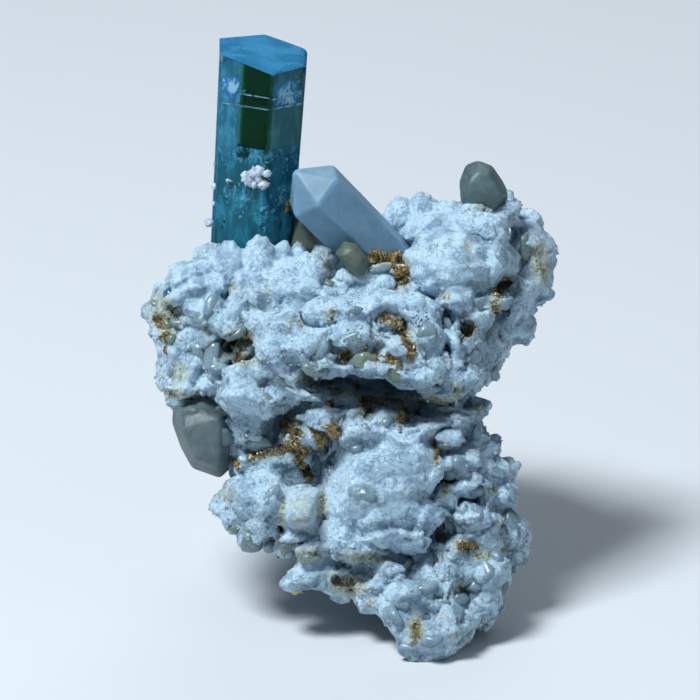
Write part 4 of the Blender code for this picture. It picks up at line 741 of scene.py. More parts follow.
class Graph:
    """Short ways to build a shader or a geometry tree."""

    def __init__(self, tree: bpy.types.NodeTree) -> None:
        """Work on one tree."""
        self.tree = tree

    def node(self, kind: str, inputs: dict[str | int, Input] | None = None,
             **settings: object) -> bpy.types.Node:
        """Add a node, set its properties and feed its inputs."""
        made = self.tree.nodes.new(kind)
        for name, value in settings.items():
            setattr(made, name, value)
        self.fill(made, inputs or {})
        return made

    def fill(self, node: bpy.types.Node, inputs: dict[str | int, Input]) -> None:
        """Feed some inputs of a node, each named by its label or its number."""
        for name, value in inputs.items():
            self.feed(node.inputs[name], value)

    def feed(self, socket: bpy.types.NodeSocket, value: Input) -> None:
        """Link a socket to another, or give it a fixed value."""
        if isinstance(value, bpy.types.NodeSocket):
            self.tree.links.new(value, socket)
        elif isinstance(value, tuple) and len(socket.default_value) == 4 and len(value) == 3:
            socket.default_value = (*value, 1.0)
        else:
            socket.default_value = value

    def math(self, operation: str, *values: Input, clamp: bool = False) -> bpy.types.NodeSocket:
        """One step of arithmetic."""
        made = self.node("ShaderNodeMath", dict(enumerate(values)), operation=operation, use_clamp=clamp)
        return made.outputs[0]

    def times(self, first: Input, second: Input) -> bpy.types.NodeSocket:
        """One number times another."""
        return self.math("MULTIPLY", first, second)

    def plus(self, first: Input, second: Input, share: float) -> bpy.types.NodeSocket:
        """One number and a share of another."""
        return self.math("ADD", first, self.times(second, share))

    def vector(self, operation: str, *values: Input, scale: Input = 1.0,
               output: str = "Vector") -> bpy.types.NodeSocket:
        """One step of vector arithmetic."""
        inputs = {**dict(enumerate(values)), 3: scale}
        made = self.node("ShaderNodeVectorMath", inputs, operation=operation)
        return made.outputs[output]

    def ramp(self, value: Input, low: float, high: float, start: float = 0.0,
             end: float = 1.0) -> bpy.types.NodeSocket:
        """Carry a value from one range to another and hold it there."""
        ranges = {"Value": value, "From Min": low, "From Max": high, "To Min": start, "To Max": end}
        return self.node("ShaderNodeMapRange", ranges, interpolation_type="SMOOTHSTEP").outputs[0]

    def mix(self, factor: Input, first: Input, second: Input) -> bpy.types.NodeSocket:
        """Blend two colours."""
        return self.node("ShaderNodeMix", {0: factor, 6: first, 7: second}, data_type="RGBA").outputs[2]

    def noise(self, place: Input, scale: float, detail: float = 3.0, roughness: float = 0.5,
              distortion: float = 0.0, output: int = 0) -> bpy.types.NodeSocket:
        """Soft noise of a given scale."""
        inputs = {"Vector": place, "Scale": scale, "Detail": detail, "Roughness": roughness,
                  "Distortion": distortion}
        return self.node("ShaderNodeTexNoise", inputs).outputs[output]

    def warp(self, place: Input, noise: Input, reach: float) -> bpy.types.NodeSocket:
        """A place pushed about by a coloured noise."""
        return self.vector("MULTIPLY_ADD", noise, (reach, reach, reach), place)

    def cells(self, place: Input, feature: str = "F1") -> bpy.types.Node:
        """A Voronoi texture."""
        return self.node("ShaderNodeTexVoronoi", {"Vector": place, "Scale": 1.0}, feature=feature)

    def facets(self, place: Input) -> bpy.types.NodeSocket:
        """Height of randomly tilted flat cells, about 0.5 high, for a place in cell widths."""
        cell = self.cells(place)
        tilt = self.vector("MULTIPLY_ADD", cell.outputs["Color"], (2.0, 2.0, 2.0), (-1.0, -1.0, -1.0))
        offset = self.vector("SUBTRACT", place, cell.outputs["Position"])
        return self.vector("DOT_PRODUCT", offset, tilt, output="Value")

    def attribute(self, name: str) -> bpy.types.NodeSocket:
        """A number stored on the mesh, read by a shader."""
        return self.node("ShaderNodeAttribute", attribute_name=name).outputs["Fac"]

    def stored(self, name: str, kind: str = "FLOAT") -> bpy.types.NodeSocket:
        """A value stored on the mesh, read by a geometry tree."""
        made = self.node("GeometryNodeInputNamedAttribute", {"Name": name}, data_type=kind)
        return made.outputs["Attribute"]


def millimetres(graph: Graph) -> bpy.types.NodeSocket:
    """Object coordinates in millimetres."""
    place = graph.node("ShaderNodeTexCoord").outputs["Object"]
    return graph.vector("SCALE", place, scale=1.0 / MM)


def new_material(name: str) -> tuple[bpy.types.Material, Graph, bpy.types.Node]:
    """An empty finish, with its graph and its main shader."""
    material = bpy.data.materials.new(name)
    material.use_nodes = True
    return material, Graph(material.node_tree), material.node_tree.nodes["Principled BSDF"]


def bump(graph: Graph, shader: bpy.types.Node, height: Input, distance: float, strength: float) -> None:
    """Give a shader a fine relief, with the distance in millimetres."""
    made = graph.node("ShaderNodeBump", {"Height": height, "Distance": distance * MM, "Strength": strength})
    graph.feed(shader.inputs["Normal"], made.outputs[0])


def absorb(graph: Graph, colour: tuple, density: float) -> None:
    """Let a clear piece take away some of the light that passes through it."""
    volume = graph.node("ShaderNodeVolumeAbsorption", {"Color": colour, "Density": density})
    graph.feed(graph.tree.nodes["Material Output"].inputs["Volume"], volume.outputs[0])


def soft_glow(weight: float, radius: tuple, scale: float) -> dict[str, Input]:
    """Shader inputs for light that spreads under a surface, with the scale in millimetres."""
    return {"Subsurface Weight": weight, "Subsurface Radius": radius, "Subsurface Scale": scale * MM}


# ---------------------------------------------------------------- finishes
BERYL_INDEX = 1.577
QUARTZ_INDEX = 1.55
COOL_SPREAD = (0.8, 1.0, 1.2)      # how far red, green and blue spread under pale rock and quartz
OLIVE_TINT = (0.17, 0.22, 0.13)


@dataclass(frozen=True)
class AlbiteFinish:
    """White sugary feldspar: grey quartz patches, rust stains, dirty cracks and painted shade."""

    name: str = "albite_rock"
    light: tuple = (0.57, 0.77, 0.92)
    shade: tuple = (0.31, 0.46, 0.60)
    quartz: tuple = (0.21, 0.33, 0.42)
    cream: tuple = (0.52, 0.52, 0.30)
    rust: tuple = (0.17, 0.115, 0.035)
    olive: tuple = (0.050, 0.055, 0.022)
    grime: tuple = (0.035, 0.045, 0.05)
    translucency: float = 0.45

    def make(self) -> bpy.types.Material:
        """Build the finish."""
        material, graph, shader = new_material(self.name)
        place = millimetres(graph)
        cavity = graph.attribute("cavity")
        drift = graph.warp(place, graph.noise(place, 1.4, 4.0, 0.6, output=1), 1.2)
        fine = graph.noise(drift, 2.6, 6.0, 0.62)
        edge = graph.times(graph.math("SUBTRACT", fine, 0.5), 0.9)
        colour = graph.mix(graph.ramp(graph.noise(place, 0.35, 4.0, 0.6), 0.36, 0.52), self.shade, self.light)
        colour = graph.mix(graph.ramp(fine, 0.30, 0.50, 0.55, 0.0), colour, self.shade)
        # Grey ovals: flush translucent quartz, and painted shade under the overhang and over the lower right.
        grey = graph.ramp(graph.plus(graph.attribute("grey"), edge, 0.7), 0.42, 0.58)
        colour = graph.mix(graph.times(grey, 0.72), colour, self.quartz)
        crack = self.cracks(graph, place, drift)
        sparse = graph.ramp(graph.noise(place, 0.55, 2.0), 0.45, 0.58)
        colour = graph.mix(graph.times(crack, graph.times(sparse, 0.75)), colour, self.grime)
        # Painted shade, with dark olive dirt, deepens into the hollows.
        hollow_dirt_and_shade = graph.ramp(graph.plus(cavity, edge, 0.5), 0.35, 0.95)
        colour = graph.mix(graph.times(hollow_dirt_and_shade, 0.55), colour, self.olive)
        stain = graph.plus(graph.attribute("rust"), edge, 2.4)
        colour = graph.mix(graph.ramp(stain, 0.25, 0.85, 0.0, 0.62), colour, self.cream)
        rusty = graph.ramp(graph.plus(stain, cavity, 0.5), 0.80, 1.15)
        earth = graph.mix(graph.ramp(graph.noise(place, 1.1, 3.0), 0.4, 0.6), self.rust, self.olive)
        graph.fill(shader, {
            "Base Color": graph.mix(graph.times(rusty, 0.9), colour, earth),
            "Roughness": graph.ramp(grey, 0.0, 1.0, 0.62, 0.34),
            **soft_glow(self.translucency, COOL_SPREAD, 1.1),
        })
        relief = graph.plus(graph.facets(graph.vector("SCALE", drift, scale=3.4)), fine, 0.9)
        calm = graph.math("MAXIMUM", graph.times(graph.attribute("smooth"), 0.35), grey)
        relief = graph.times(relief, graph.ramp(calm, 0.0, 1.0, 1.0, 0.3))
        bump(graph, shader, graph.plus(relief, crack, -0.5), 0.15, 1.0)
        return material

    def cracks(self, graph: Graph, place: Input, drift: Input) -> bpy.types.NodeSocket:
        """Thin dark cracks and specks."""
        streaks = graph.cells(graph.vector("MULTIPLY", drift, (0.9, 2.2, 2.2)), "DISTANCE_TO_EDGE")
        crack = graph.ramp(streaks.outputs["Distance"], 0.0, 0.045, 1.0, 0.0)
        specks = graph.ramp(graph.noise(place, 2.8, 3.0, 0.6), 0.66, 0.74)
        return graph.math("MAXIMUM", crack, graph.times(specks, 0.8))


@dataclass(frozen=True)
class QuartzFinish:
    """Frosted quartz: see-through but clouded, with a little relief on its faces."""

    name: str
    colour: tuple
    tint: tuple
    transmission: float
    roughness: float
    absorption: tuple = (0.55, 0.72, 0.80)
    density: float = 90.0
    toned: bool = False
    glow: float = 0.0
    relief: float = 0.08

    def make(self) -> bpy.types.Material:
        """Build the finish."""
        material, graph, shader = new_material(self.name)
        place = millimetres(graph)
        fine = graph.noise(place, 4.0, 4.0, 0.6)
        cloud = graph.ramp(graph.noise(place, 0.5, 5.0, 0.6, 0.6), 0.32, 0.66)
        colour = graph.mix(cloud, self.tint, self.colour)
        if self.toned:
            colour = graph.mix(graph.attribute("tone"), colour, OLIVE_TINT)
        graph.fill(shader, {
            "Base Color": colour,
            "Roughness": graph.ramp(fine, 0.3, 0.7, 0.7 * self.roughness, self.roughness),
            "Transmission Weight": self.transmission,
            "IOR": QUARTZ_INDEX,
            **soft_glow(self.glow, COOL_SPREAD, 2.4),
        })
        absorb(graph, self.absorption, self.density)
        height = graph.math("ADD", graph.times(fine, 0.5), graph.noise(place, 1.3, 2.0))
        bump(graph, shader, height, self.relief, 0.6)
        return material


@dataclass(frozen=True)
class BerylFinish:
    """Clear teal beryl with fine grooves along the prism."""

    name: str = "aquamarine"
    body: tuple = (0.78, 0.95, 1.0)
    absorption: tuple = (0.08, 0.52, 0.62)
    density: float = 240.0
    roughness: float = 0.04
    sheen_tint: tuple = (0.08, 0.34, 0.24)

    def make(self) -> bpy.types.Material:
        """Build the finish."""
        material, graph, shader = new_material(self.name)
        graph.fill(shader, {"Base Color": self.body, "Roughness": self.roughness,
                            "Specular Tint": self.sheen_tint,
                            "Transmission Weight": 1.0, "IOR": BERYL_INDEX})
        grooves = graph.noise(graph.vector("MULTIPLY", millimetres(graph), (3.2, 3.2, 0.05)), 1.0, 3.0, 0.6)
        bump(graph, shader, grooves, 0.012, 0.5)
        absorb(graph, self.absorption, self.density)
        return material


@dataclass(frozen=True)
class CrownFinish:
    """Matt, frosted top face of the prism; its sky-blue colour partly paints the reflection of the light
    above.
    """

    name: str = "beryl_crown"
    pale: tuple = (0.030, 0.20, 0.37)
    deep: tuple = (0.014, 0.14, 0.28)
    speck: tuple = (0.30, 0.62, 0.85)

    def make(self) -> bpy.types.Material:
        """Build the finish."""
        material, graph, shader = new_material(self.name)
        place = millimetres(graph)
        cloud = graph.noise(graph.vector("MULTIPLY", place, (0.8, 1.0, 1.0)), 0.4, 2.0, 0.5, 0.4)
        specks = graph.ramp(graph.noise(place, 2.2, 3.0, 0.6), 0.62, 0.74)
        colour = graph.mix(graph.ramp(cloud, 0.36, 0.62), self.deep, self.pale)
        speckled = graph.mix(graph.times(specks, 0.35), colour, self.speck)
        # Painted reflection: the sky-blue colour stands in for the reflection of the light above, with the
        # real one off.
        graph.fill(shader, {"Base Color": speckled, "Roughness": 0.5,
                            "Specular IOR Level": 0.0, "Transmission Weight": 0.15, "IOR": BERYL_INDEX})
        return material


@dataclass(frozen=True)
class ClearZoneFinish:
    """Colour zone inside a crystal: it bends no light and only takes some of it away."""

    name: str
    absorption: tuple
    density: float

    def make(self) -> bpy.types.Material:
        """Build the finish."""
        material, graph, shader = new_material(self.name)
        graph.fill(shader, {"Base Color": (1.0, 1.0, 1.0), "Roughness": 0.0,
                            "Transmission Weight": 1.0, "IOR": 1.0})
        absorb(graph, self.absorption, self.density)
        return material


@dataclass(frozen=True)
class VeilFinish:
    """Milky growth and painted light and shade in a crystal: wisps all over it or, with a reach, round one
    bright spot.
    """

    name: str
    pale: tuple
    deep: tuple
    scale: float
    thin: float
    thick: float
    cover: float
    spot: tuple = (0.0, 0.0, 0.0)
    reach: float = 0.0

    def make(self) -> bpy.types.Material:
        """Build the finish."""
        material, graph, shader = new_material(self.name)
        place = millimetres(graph)
        wisps = graph.noise(graph.vector("MULTIPLY", place, (1.0, 1.0, 0.45)), self.scale, 6.0, 0.62, 0.8)
        paleness = graph.ramp(wisps, 0.42, 0.66)
        cover = graph.ramp(wisps, self.thin, self.thick, 0.0, self.cover)
        if self.reach:
            away = graph.vector("DISTANCE", place, self.spot, output="Value")
            ragged = graph.plus(away, graph.math("SUBTRACT", wisps, 0.5), 2.2 * self.reach)
            near = graph.ramp(ragged, 0.0, self.reach, 1.0, 0.0)
            paleness = graph.ramp(near, 0.35, 1.0)
            cover = graph.times(graph.ramp(near, 0.0, 0.8), self.cover)
        graph.fill(shader, {"Base Color": graph.mix(paleness, self.deep, self.pale), "Alpha": cover,
                            "Roughness": 0.7})
        return material


@dataclass(frozen=True)
class MicaFinish:
    """Golden brown mica: bright on its faces, dark between its plates."""

    name: str = "mica"
    gold: tuple = (0.78, 0.60, 0.32)
    brown: tuple = (0.15, 0.11, 0.045)
    olive: tuple = (0.045, 0.045, 0.018)

    def make(self) -> bpy.types.Material:
        """Build the finish."""
        material, graph, shader = new_material(self.name)
        place = millimetres(graph)
        fine = graph.noise(place, 5.0, 4.0, 0.6)
        dull = graph.ramp(graph.noise(place, 0.9, 3.0, 0.6), 0.50, 0.66, 0.0, 0.75)
        colour = graph.mix(graph.ramp(fine, 0.38, 0.62), self.brown, self.gold)
        graph.fill(shader, {"Base Color": graph.mix(dull, colour, self.olive), "Metallic": 0.75,
                            "Roughness": graph.ramp(fine, 0.3, 0.7, 0.25, 0.5)})
        bump(graph, shader, fine, 0.05, 0.6)
        return material


@dataclass(frozen=True)
class BeadFinish:
    """White, slightly waxy albite of the beads and of the rosette."""

    name: str = "albite_bead"
    white: tuple = (0.48, 0.58, 0.70)
    core: tuple = (0.30, 0.36, 0.40)

    def make(self) -> bpy.types.Material:
        """Build the finish."""
        material, graph, shader = new_material(self.name)
        place = millimetres(graph)
        colour = graph.mix(graph.ramp(graph.noise(place, 1.2, 4.0, 0.6), 0.35, 0.6), self.core, self.white)
        graph.fill(shader, {"Base Color": colour, "Roughness": 0.45, **soft_glow(0.3, (0.9, 1.0, 1.1), 0.3)})
        bump(graph, shader, graph.noise(place, 5.0, 3.0), 0.06, 0.6)
        return material


# ---------------------------------------------------------------- geometry trees
class GeometryTree:
    """A geometry tree with named numbers as its inputs, which ends in plain meshes of one finish."""

    def __init__(self, name: str, finish: bpy.types.Material, inputs: dict[str, float]) -> None:
        """Start the tree.

        Args:
            name: the tree's name.
            finish: the material that every face takes.
            inputs: each input's name and usual value.
        """
        self.finish, self.values = finish, inputs
        tree = bpy.data.node_groups.new(name, "GeometryNodeTree")
        for way in ("INPUT", "OUTPUT"):
            tree.interface.new_socket("Geometry", in_out=way, socket_type="NodeSocketGeometry")
        self.keys = {}
        for label, value in inputs.items():
            kind = "NodeSocketInt" if isinstance(value, int) else "NodeSocketFloat"
            socket = tree.interface.new_socket(label, in_out="INPUT", socket_type=kind)
            socket.default_value = value
            self.keys[label] = socket.identifier
        self.graph = Graph(tree)
        self.given = self.graph.node("NodeGroupInput").outputs

    def close(self, last: bpy.types.NodeSocket) -> None:
        """Realize what comes last, coat it and hand it out."""
        realize = self.graph.node("GeometryNodeRealizeInstances", {0: last})
        coat = self.graph.node("GeometryNodeSetMaterial", {0: realize.outputs[0], "Material": self.finish})
        self.graph.node("NodeGroupOutput", {0: coat.outputs[0]})

    def run(self, obj: bpy.types.Object, values: dict[str, float] | None = None) -> None:
        """Put an object through the tree and keep the plain mesh that comes out."""
        modifier = obj.modifiers.new(self.graph.tree.name, "NODES")
        modifier.node_group = self.graph.tree
        for label, value in {**self.values, **(values or {})}.items():
            modifier[self.keys[label]] = value
        settle(obj)


class RockGrain(GeometryTree):
    """Breaks a melted surface into tilted facets and marks its hollows."""

    def __init__(self, finish: bpy.types.Material) -> None:
        """Build the tree."""
        super().__init__("rock_grain", finish, {
            "Block Size": 2.3, "Block Height": 0.62, "Grain Size": 0.90, "Grain Height": 0.13,
            "Hollow Depth": 0.40, "Blur": 10})
        graph = self.graph
        place = graph.vector("SCALE", graph.node("GeometryNodeInputPosition").outputs[0], scale=1.0 / MM)
        drift = graph.warp(place, graph.noise(place, 0.5, 3.0, 0.6, output=1), 1.6)
        rough = graph.math("SUBTRACT", 1.0, graph.stored("smooth"))
        blocks, grains = self.layer(drift, "Block", rough, 0.92), self.layer(drift, "Grain", rough, 0.96)
        height = graph.math("ADD", blocks, grains)
        normal = graph.node("GeometryNodeInputNormal").outputs[0]
        offset = graph.vector("SCALE", normal, scale=graph.times(height, MM))
        pushed = graph.node("GeometryNodeSetPosition", {"Geometry": self.given["Geometry"], "Offset": offset})
        marked = graph.node("GeometryNodeStoreNamedAttribute", data_type="FLOAT", domain="POINT")
        # The albite finish paints shade and olive dirt into these hollows.
        graph.fill(marked, {"Geometry": pushed.outputs[0], "Name": "cavity", "Value": self.hollows(normal)})
        self.close(marked.outputs[0])

    def layer(self, place: Input, kind: str, rough: Input, share: float) -> bpy.types.NodeSocket:
        """Height, in millimetres, of one size of facets, lower by a share where the rock is smooth."""
        graph = self.graph
        scale = graph.math("DIVIDE", 1.0, self.given[kind + " Size"])
        cells = graph.facets(graph.vector("SCALE", place, scale=scale))
        height = graph.times(cells, self.given[kind + " Height"])
        return graph.times(height, graph.math("MULTIPLY_ADD", rough, share, 1.0 - share))

    def hollows(self, normal: Input) -> bpy.types.NodeSocket:
        """How deep each point lies below its smoothed surroundings, from 0 to 1."""
        graph = self.graph
        position = graph.node("GeometryNodeInputPosition").outputs[0]
        rounds = {"Iterations": self.given["Blur"]}
        blur = graph.node("GeometryNodeBlurAttribute", rounds, data_type="FLOAT_VECTOR")
        value = next(socket for socket in blur.inputs if socket.name == "Value" and socket.enabled)
        graph.feed(value, position)
        smoothed = next(socket for socket in blur.outputs if socket.enabled)
        rise = graph.vector("SUBTRACT", smoothed, position)
        depth = graph.vector("DOT_PRODUCT", rise, normal, output="Value")
        return graph.math("DIVIDE", graph.math("DIVIDE", depth, MM), self.given["Hollow Depth"], clamp=True)


class SugarCrystals(GeometryTree):
    """Strews small white crystals over a surface."""

    def __init__(self, finish: bpy.types.Material, crystal: bpy.types.Object) -> None:
        """Build the tree.

        Args:
            finish: the material of the crystals.
            crystal: the object whose mesh each crystal copies.
        """
        inputs = {"Density": 0.9, "Smallest": 0.12, "Largest": 0.38, "Seed": 4}
        super().__init__("sugar_crystals", finish, inputs)
        graph, given = self.graph, self.given
        rough = graph.math("SUBTRACT", 1.0, graph.stored("smooth"), clamp=True)
        density = graph.times(given["Density"], 1.0 / (MM * MM))
        spread = graph.node("GeometryNodeDistributePointsOnFaces", {
            "Mesh": given["Geometry"], "Seed": given["Seed"]}, distribute_method="RANDOM")
        graph.feed(spread.inputs["Density"], graph.times(density, graph.math("POWER", rough, 2.0)))
        turn = graph.node("FunctionNodeRandomValue", {0: (0.0, 0.0, 0.0), 1: (math.tau, math.tau, math.tau)},
                          data_type="FLOAT_VECTOR")
        ends = {2: given["Smallest"], 3: given["Largest"]}
        size = graph.node("FunctionNodeRandomValue", ends, data_type="FLOAT")
        source = graph.node("GeometryNodeObjectInfo", {"Object": crystal})
        placed = graph.node("GeometryNodeInstanceOnPoints", {
            "Points": spread.outputs["Points"], "Instance": source.outputs["Geometry"],
            "Rotation": turn.outputs[0], "Scale": size.outputs[1]})
        self.close(placed.outputs[0])


class MicaBooks(GeometryTree):
    """Stands a stack of thin plates on every point it is given."""

    def __init__(self, finish: bpy.types.Material) -> None:
        """Build the tree."""
        super().__init__("mica_books", finish, {"Plates": 7, "Spacing": 0.075, "Thickness": 0.045, "Seed": 3})
        graph, given = self.graph, self.given
        form = {"Vertices": 6, "Radius": 1.0, "Depth": given["Thickness"]}
        plate = graph.node("GeometryNodeMeshCylinder", form)
        step = graph.node("ShaderNodeCombineXYZ", {2: given["Spacing"]})
        stack = graph.node("GeometryNodeMeshLine", {"Count": given["Plates"], "Offset": step.outputs[0]})
        leaves = graph.node("GeometryNodeInstanceOnPoints", {
            "Points": stack.outputs[0], "Instance": plate.outputs["Mesh"],
            "Rotation": self.random((-0.16, -0.16, -0.3), (0.16, 0.16, 0.3)),
            "Scale": self.random((0.75, 0.45, 0.8), (1.3, 0.85, 1.3))})
        book = graph.node("GeometryNodeRealizeInstances", {0: leaves.outputs[0]})
        way = {"Vector": graph.stored("aim", "FLOAT_VECTOR")}
        aim = graph.node("FunctionNodeAlignRotationToVector", way, axis="Z")
        books = graph.node("GeometryNodeInstanceOnPoints", {
            "Points": given["Geometry"], "Instance": book.outputs[0], "Rotation": aim.outputs[0],
            "Scale": graph.stored("size")})
        self.close(books.outputs[0])

    def random(self, low: tuple, high: tuple) -> bpy.types.NodeSocket:
        """A random turn or size for each plate."""
        value = self.graph.node("FunctionNodeRandomValue", data_type="FLOAT_VECTOR")
        self.graph.fill(value, {0: low, 1: high, "Seed": self.given["Seed"]})
        return value.outputs[0]


# ---------------------------------------------------------------- the rock
@dataclass
class RockMass:
    """One mass of the rock, grown from its own lumps."""

    name: str
    lumps: Sequence[tuple]
    first_seed: int
    domes: Sequence[tuple] = ()
    fillers: Sequence[tuple] = ()
    flats: int = 16
    chip_depth: float = 0.34
    voxel: float = 0.24
    crumbs: int = 120
    crumb_size: tuple = (0.5, 1.5)
    block: tuple = (2.3, 0.62)
    obj: bpy.types.Object | None = field(default=None, repr=False)

    FILL = 0.5                # half the width of the valleys that are filled between the lumps
    FIRST_VOXEL = 0.45
    CRUMB_SINK = 0.62         # share of a crumb's half size that lies in the rock
    DOME_RIBS = (11, 0.06)
    HOLLOW_WIDTH = 2.4        # how far around a point the rock is smoothed to find its hollows

    def fill_valleys(self, sheet: Sheet) -> bpy.types.Object:
        """The lumps melted together, with the narrow valleys between them filled."""
        pile = ShellPile()
        for number, row in enumerate(self.lumps):
            pile.add_lump(sheet, row, self.first_seed + number, self.flats, self.chip_depth, 4, self.FILL)
        base = pile.build(self.name + "_base")
        melt(base, self.FIRST_VOXEL)
        smooth_modifier(base, 3)
        shrink = base.modifiers.new("shrink", "DISPLACE")
        shrink.mid_level = 0.0
        shrink.strength = -self.FILL * MM
        return settle(base)

    def add_crumbs(self, pile: ShellPile, base: bpy.types.Object, sheet: Sheet) -> None:
        """Stand small broken blocks on the melted lumps.

        Args:
            pile: the pile that takes them.
            base: the melted lumps.
            sheet: the sheet, which says where the rock is smooth.
        """
        rng = np.random.default_rng(self.first_seed)
        ball, faces = unit_ball(3)
        points = vertex_array(base.data)
        normals = vertex_normals(base.data)
        calm = patch_mask(sheet.read(points), SMOOTH_PATCHES)
        for number in range(self.crumbs):
            pick = int(rng.integers(len(points)))
            half = rng.uniform(*self.crumb_size) * rng.uniform(0.6, 1.0)
            if calm[pick] > rng.uniform(0.25, 0.9):
                continue
            shape = chipped_ball(ball, self.first_seed * 31 + number, 12, 0.55)
            turn = Matrix.Rotation(rng.uniform(0, math.tau), 4, Vector(rng.normal(size=3)).normalized())
            middle = Vector(points[pick] - normals[pick] * half * self.CRUMB_SINK * MM)
            stretch = size_matrix(half, half * rng.uniform(0.7, 1.0), half * rng.uniform(0.7, 1.0))
            pile.add(shape, faces, Matrix.Translation(middle) @ turn @ stretch @ Matrix.Scale(MM, 4))

    def build(self, sheet: Sheet, cutters: Sequence[bpy.types.Object], grain: RockGrain) -> bpy.types.Object:
        """Grow the mass.

        Args:
            sheet: the sheet that its lumps lie on.
            cutters: closed meshes whose space the rock leaves free.
            grain: the tree that breaks its surface into facets.

        Returns:
            The finished object.
        """
        base = self.fill_valleys(sheet)
        pile = ShellPile()
        pile.add(vertex_array(base.data), triangle_array(base.data), Matrix.Identity(4))
        ball, faces = unit_ball(4)
        for row in self.domes:
            pile.add(ball * rib_radius(ball, *self.DOME_RIBS), faces, lump_matrix(sheet, Lump(*row), 0.12))
        for row in self.fillers:
            pile.add_lump(sheet, row, self.first_seed, 14, 0.4, 4)
        self.add_crumbs(pile, base, sheet)
        bpy.data.objects.remove(base)
        self.obj = pile.build(self.name)
        melt(self.obj, self.voxel)
        for cutter in cutters:
            boolean(self.obj, cutter, "DIFFERENCE")
        self.mark(sheet)
        size, height = self.block
        blur = round(self.HOLLOW_WIDTH / self.voxel)
        grain.run(self.obj, {"Block Size": size, "Block Height": height, "Blur": blur})
        self.obj.data.shade_smooth()
        stand_on_floor(self.obj.data)
        return self.obj

    def mark(self, sheet: Sheet) -> None:
        """Store where the mass is stained, grey with quartz and painted shade, or smooth."""
        mesh = self.obj.data
        places = sheet.read(vertex_array(mesh))
        for name, patches in (("rust", RUST_PATCHES), ("grey", QUARTZ_AND_SHADE_PATCHES), ("smooth", SMOOTH_PATCHES)):
            hidden = patch_mask(places, back_patches(*BACK_PATCHES[name]), False)
            set_attribute(mesh, name, patch_mask(places, patches) + hidden)


def back_patches(seed: int, count: int, smallest: float, largest: float, strength: float) -> list[tuple]:
    """Ovals strewn over the back, in the same form as the front's."""
    rng = np.random.default_rng(seed)
    return [(rng.uniform(-22, 22), rng.uniform(0, 58), *rng.uniform(smallest, largest, 2),
             rng.uniform(0, 180),
             strength) for _ in range(count)]


def patch_mask(places: np.ndarray, patches: Sequence[tuple], on_front: bool = True) -> np.ndarray:
    """How strongly some ovals of the front, or of the back, cover each point.

    Args:
        places: (u, v, w) rows in millimetres.
        patches: the ovals.
        on_front: whether they lie on the front.

    Returns:
        A number from 0 to 1 for each point: above 0.5 inside an oval of full strength.
    """
    mask = np.zeros(len(places))
    for u, v, half_u, half_v, roll, strength in patches:
        angle = math.radians(roll)
        du = places[:, 0] - u
        dv = places[:, 1] - v
        along = (du * math.cos(angle) + dv * math.sin(angle)) / half_u
        across = (dv * math.cos(angle) - du * math.sin(angle)) / half_v
        reach = np.sqrt(along**2 + across**2)
        mask = np.maximum(mask, strength * np.clip(1.5 - reach, 0.0, 1.0))
    front = np.clip((places[:, 2] - PATCH_DEPTH) / PATCH_FADE, 0.0, 1.0)
    return mask * (front if on_front else 1.0 - front)


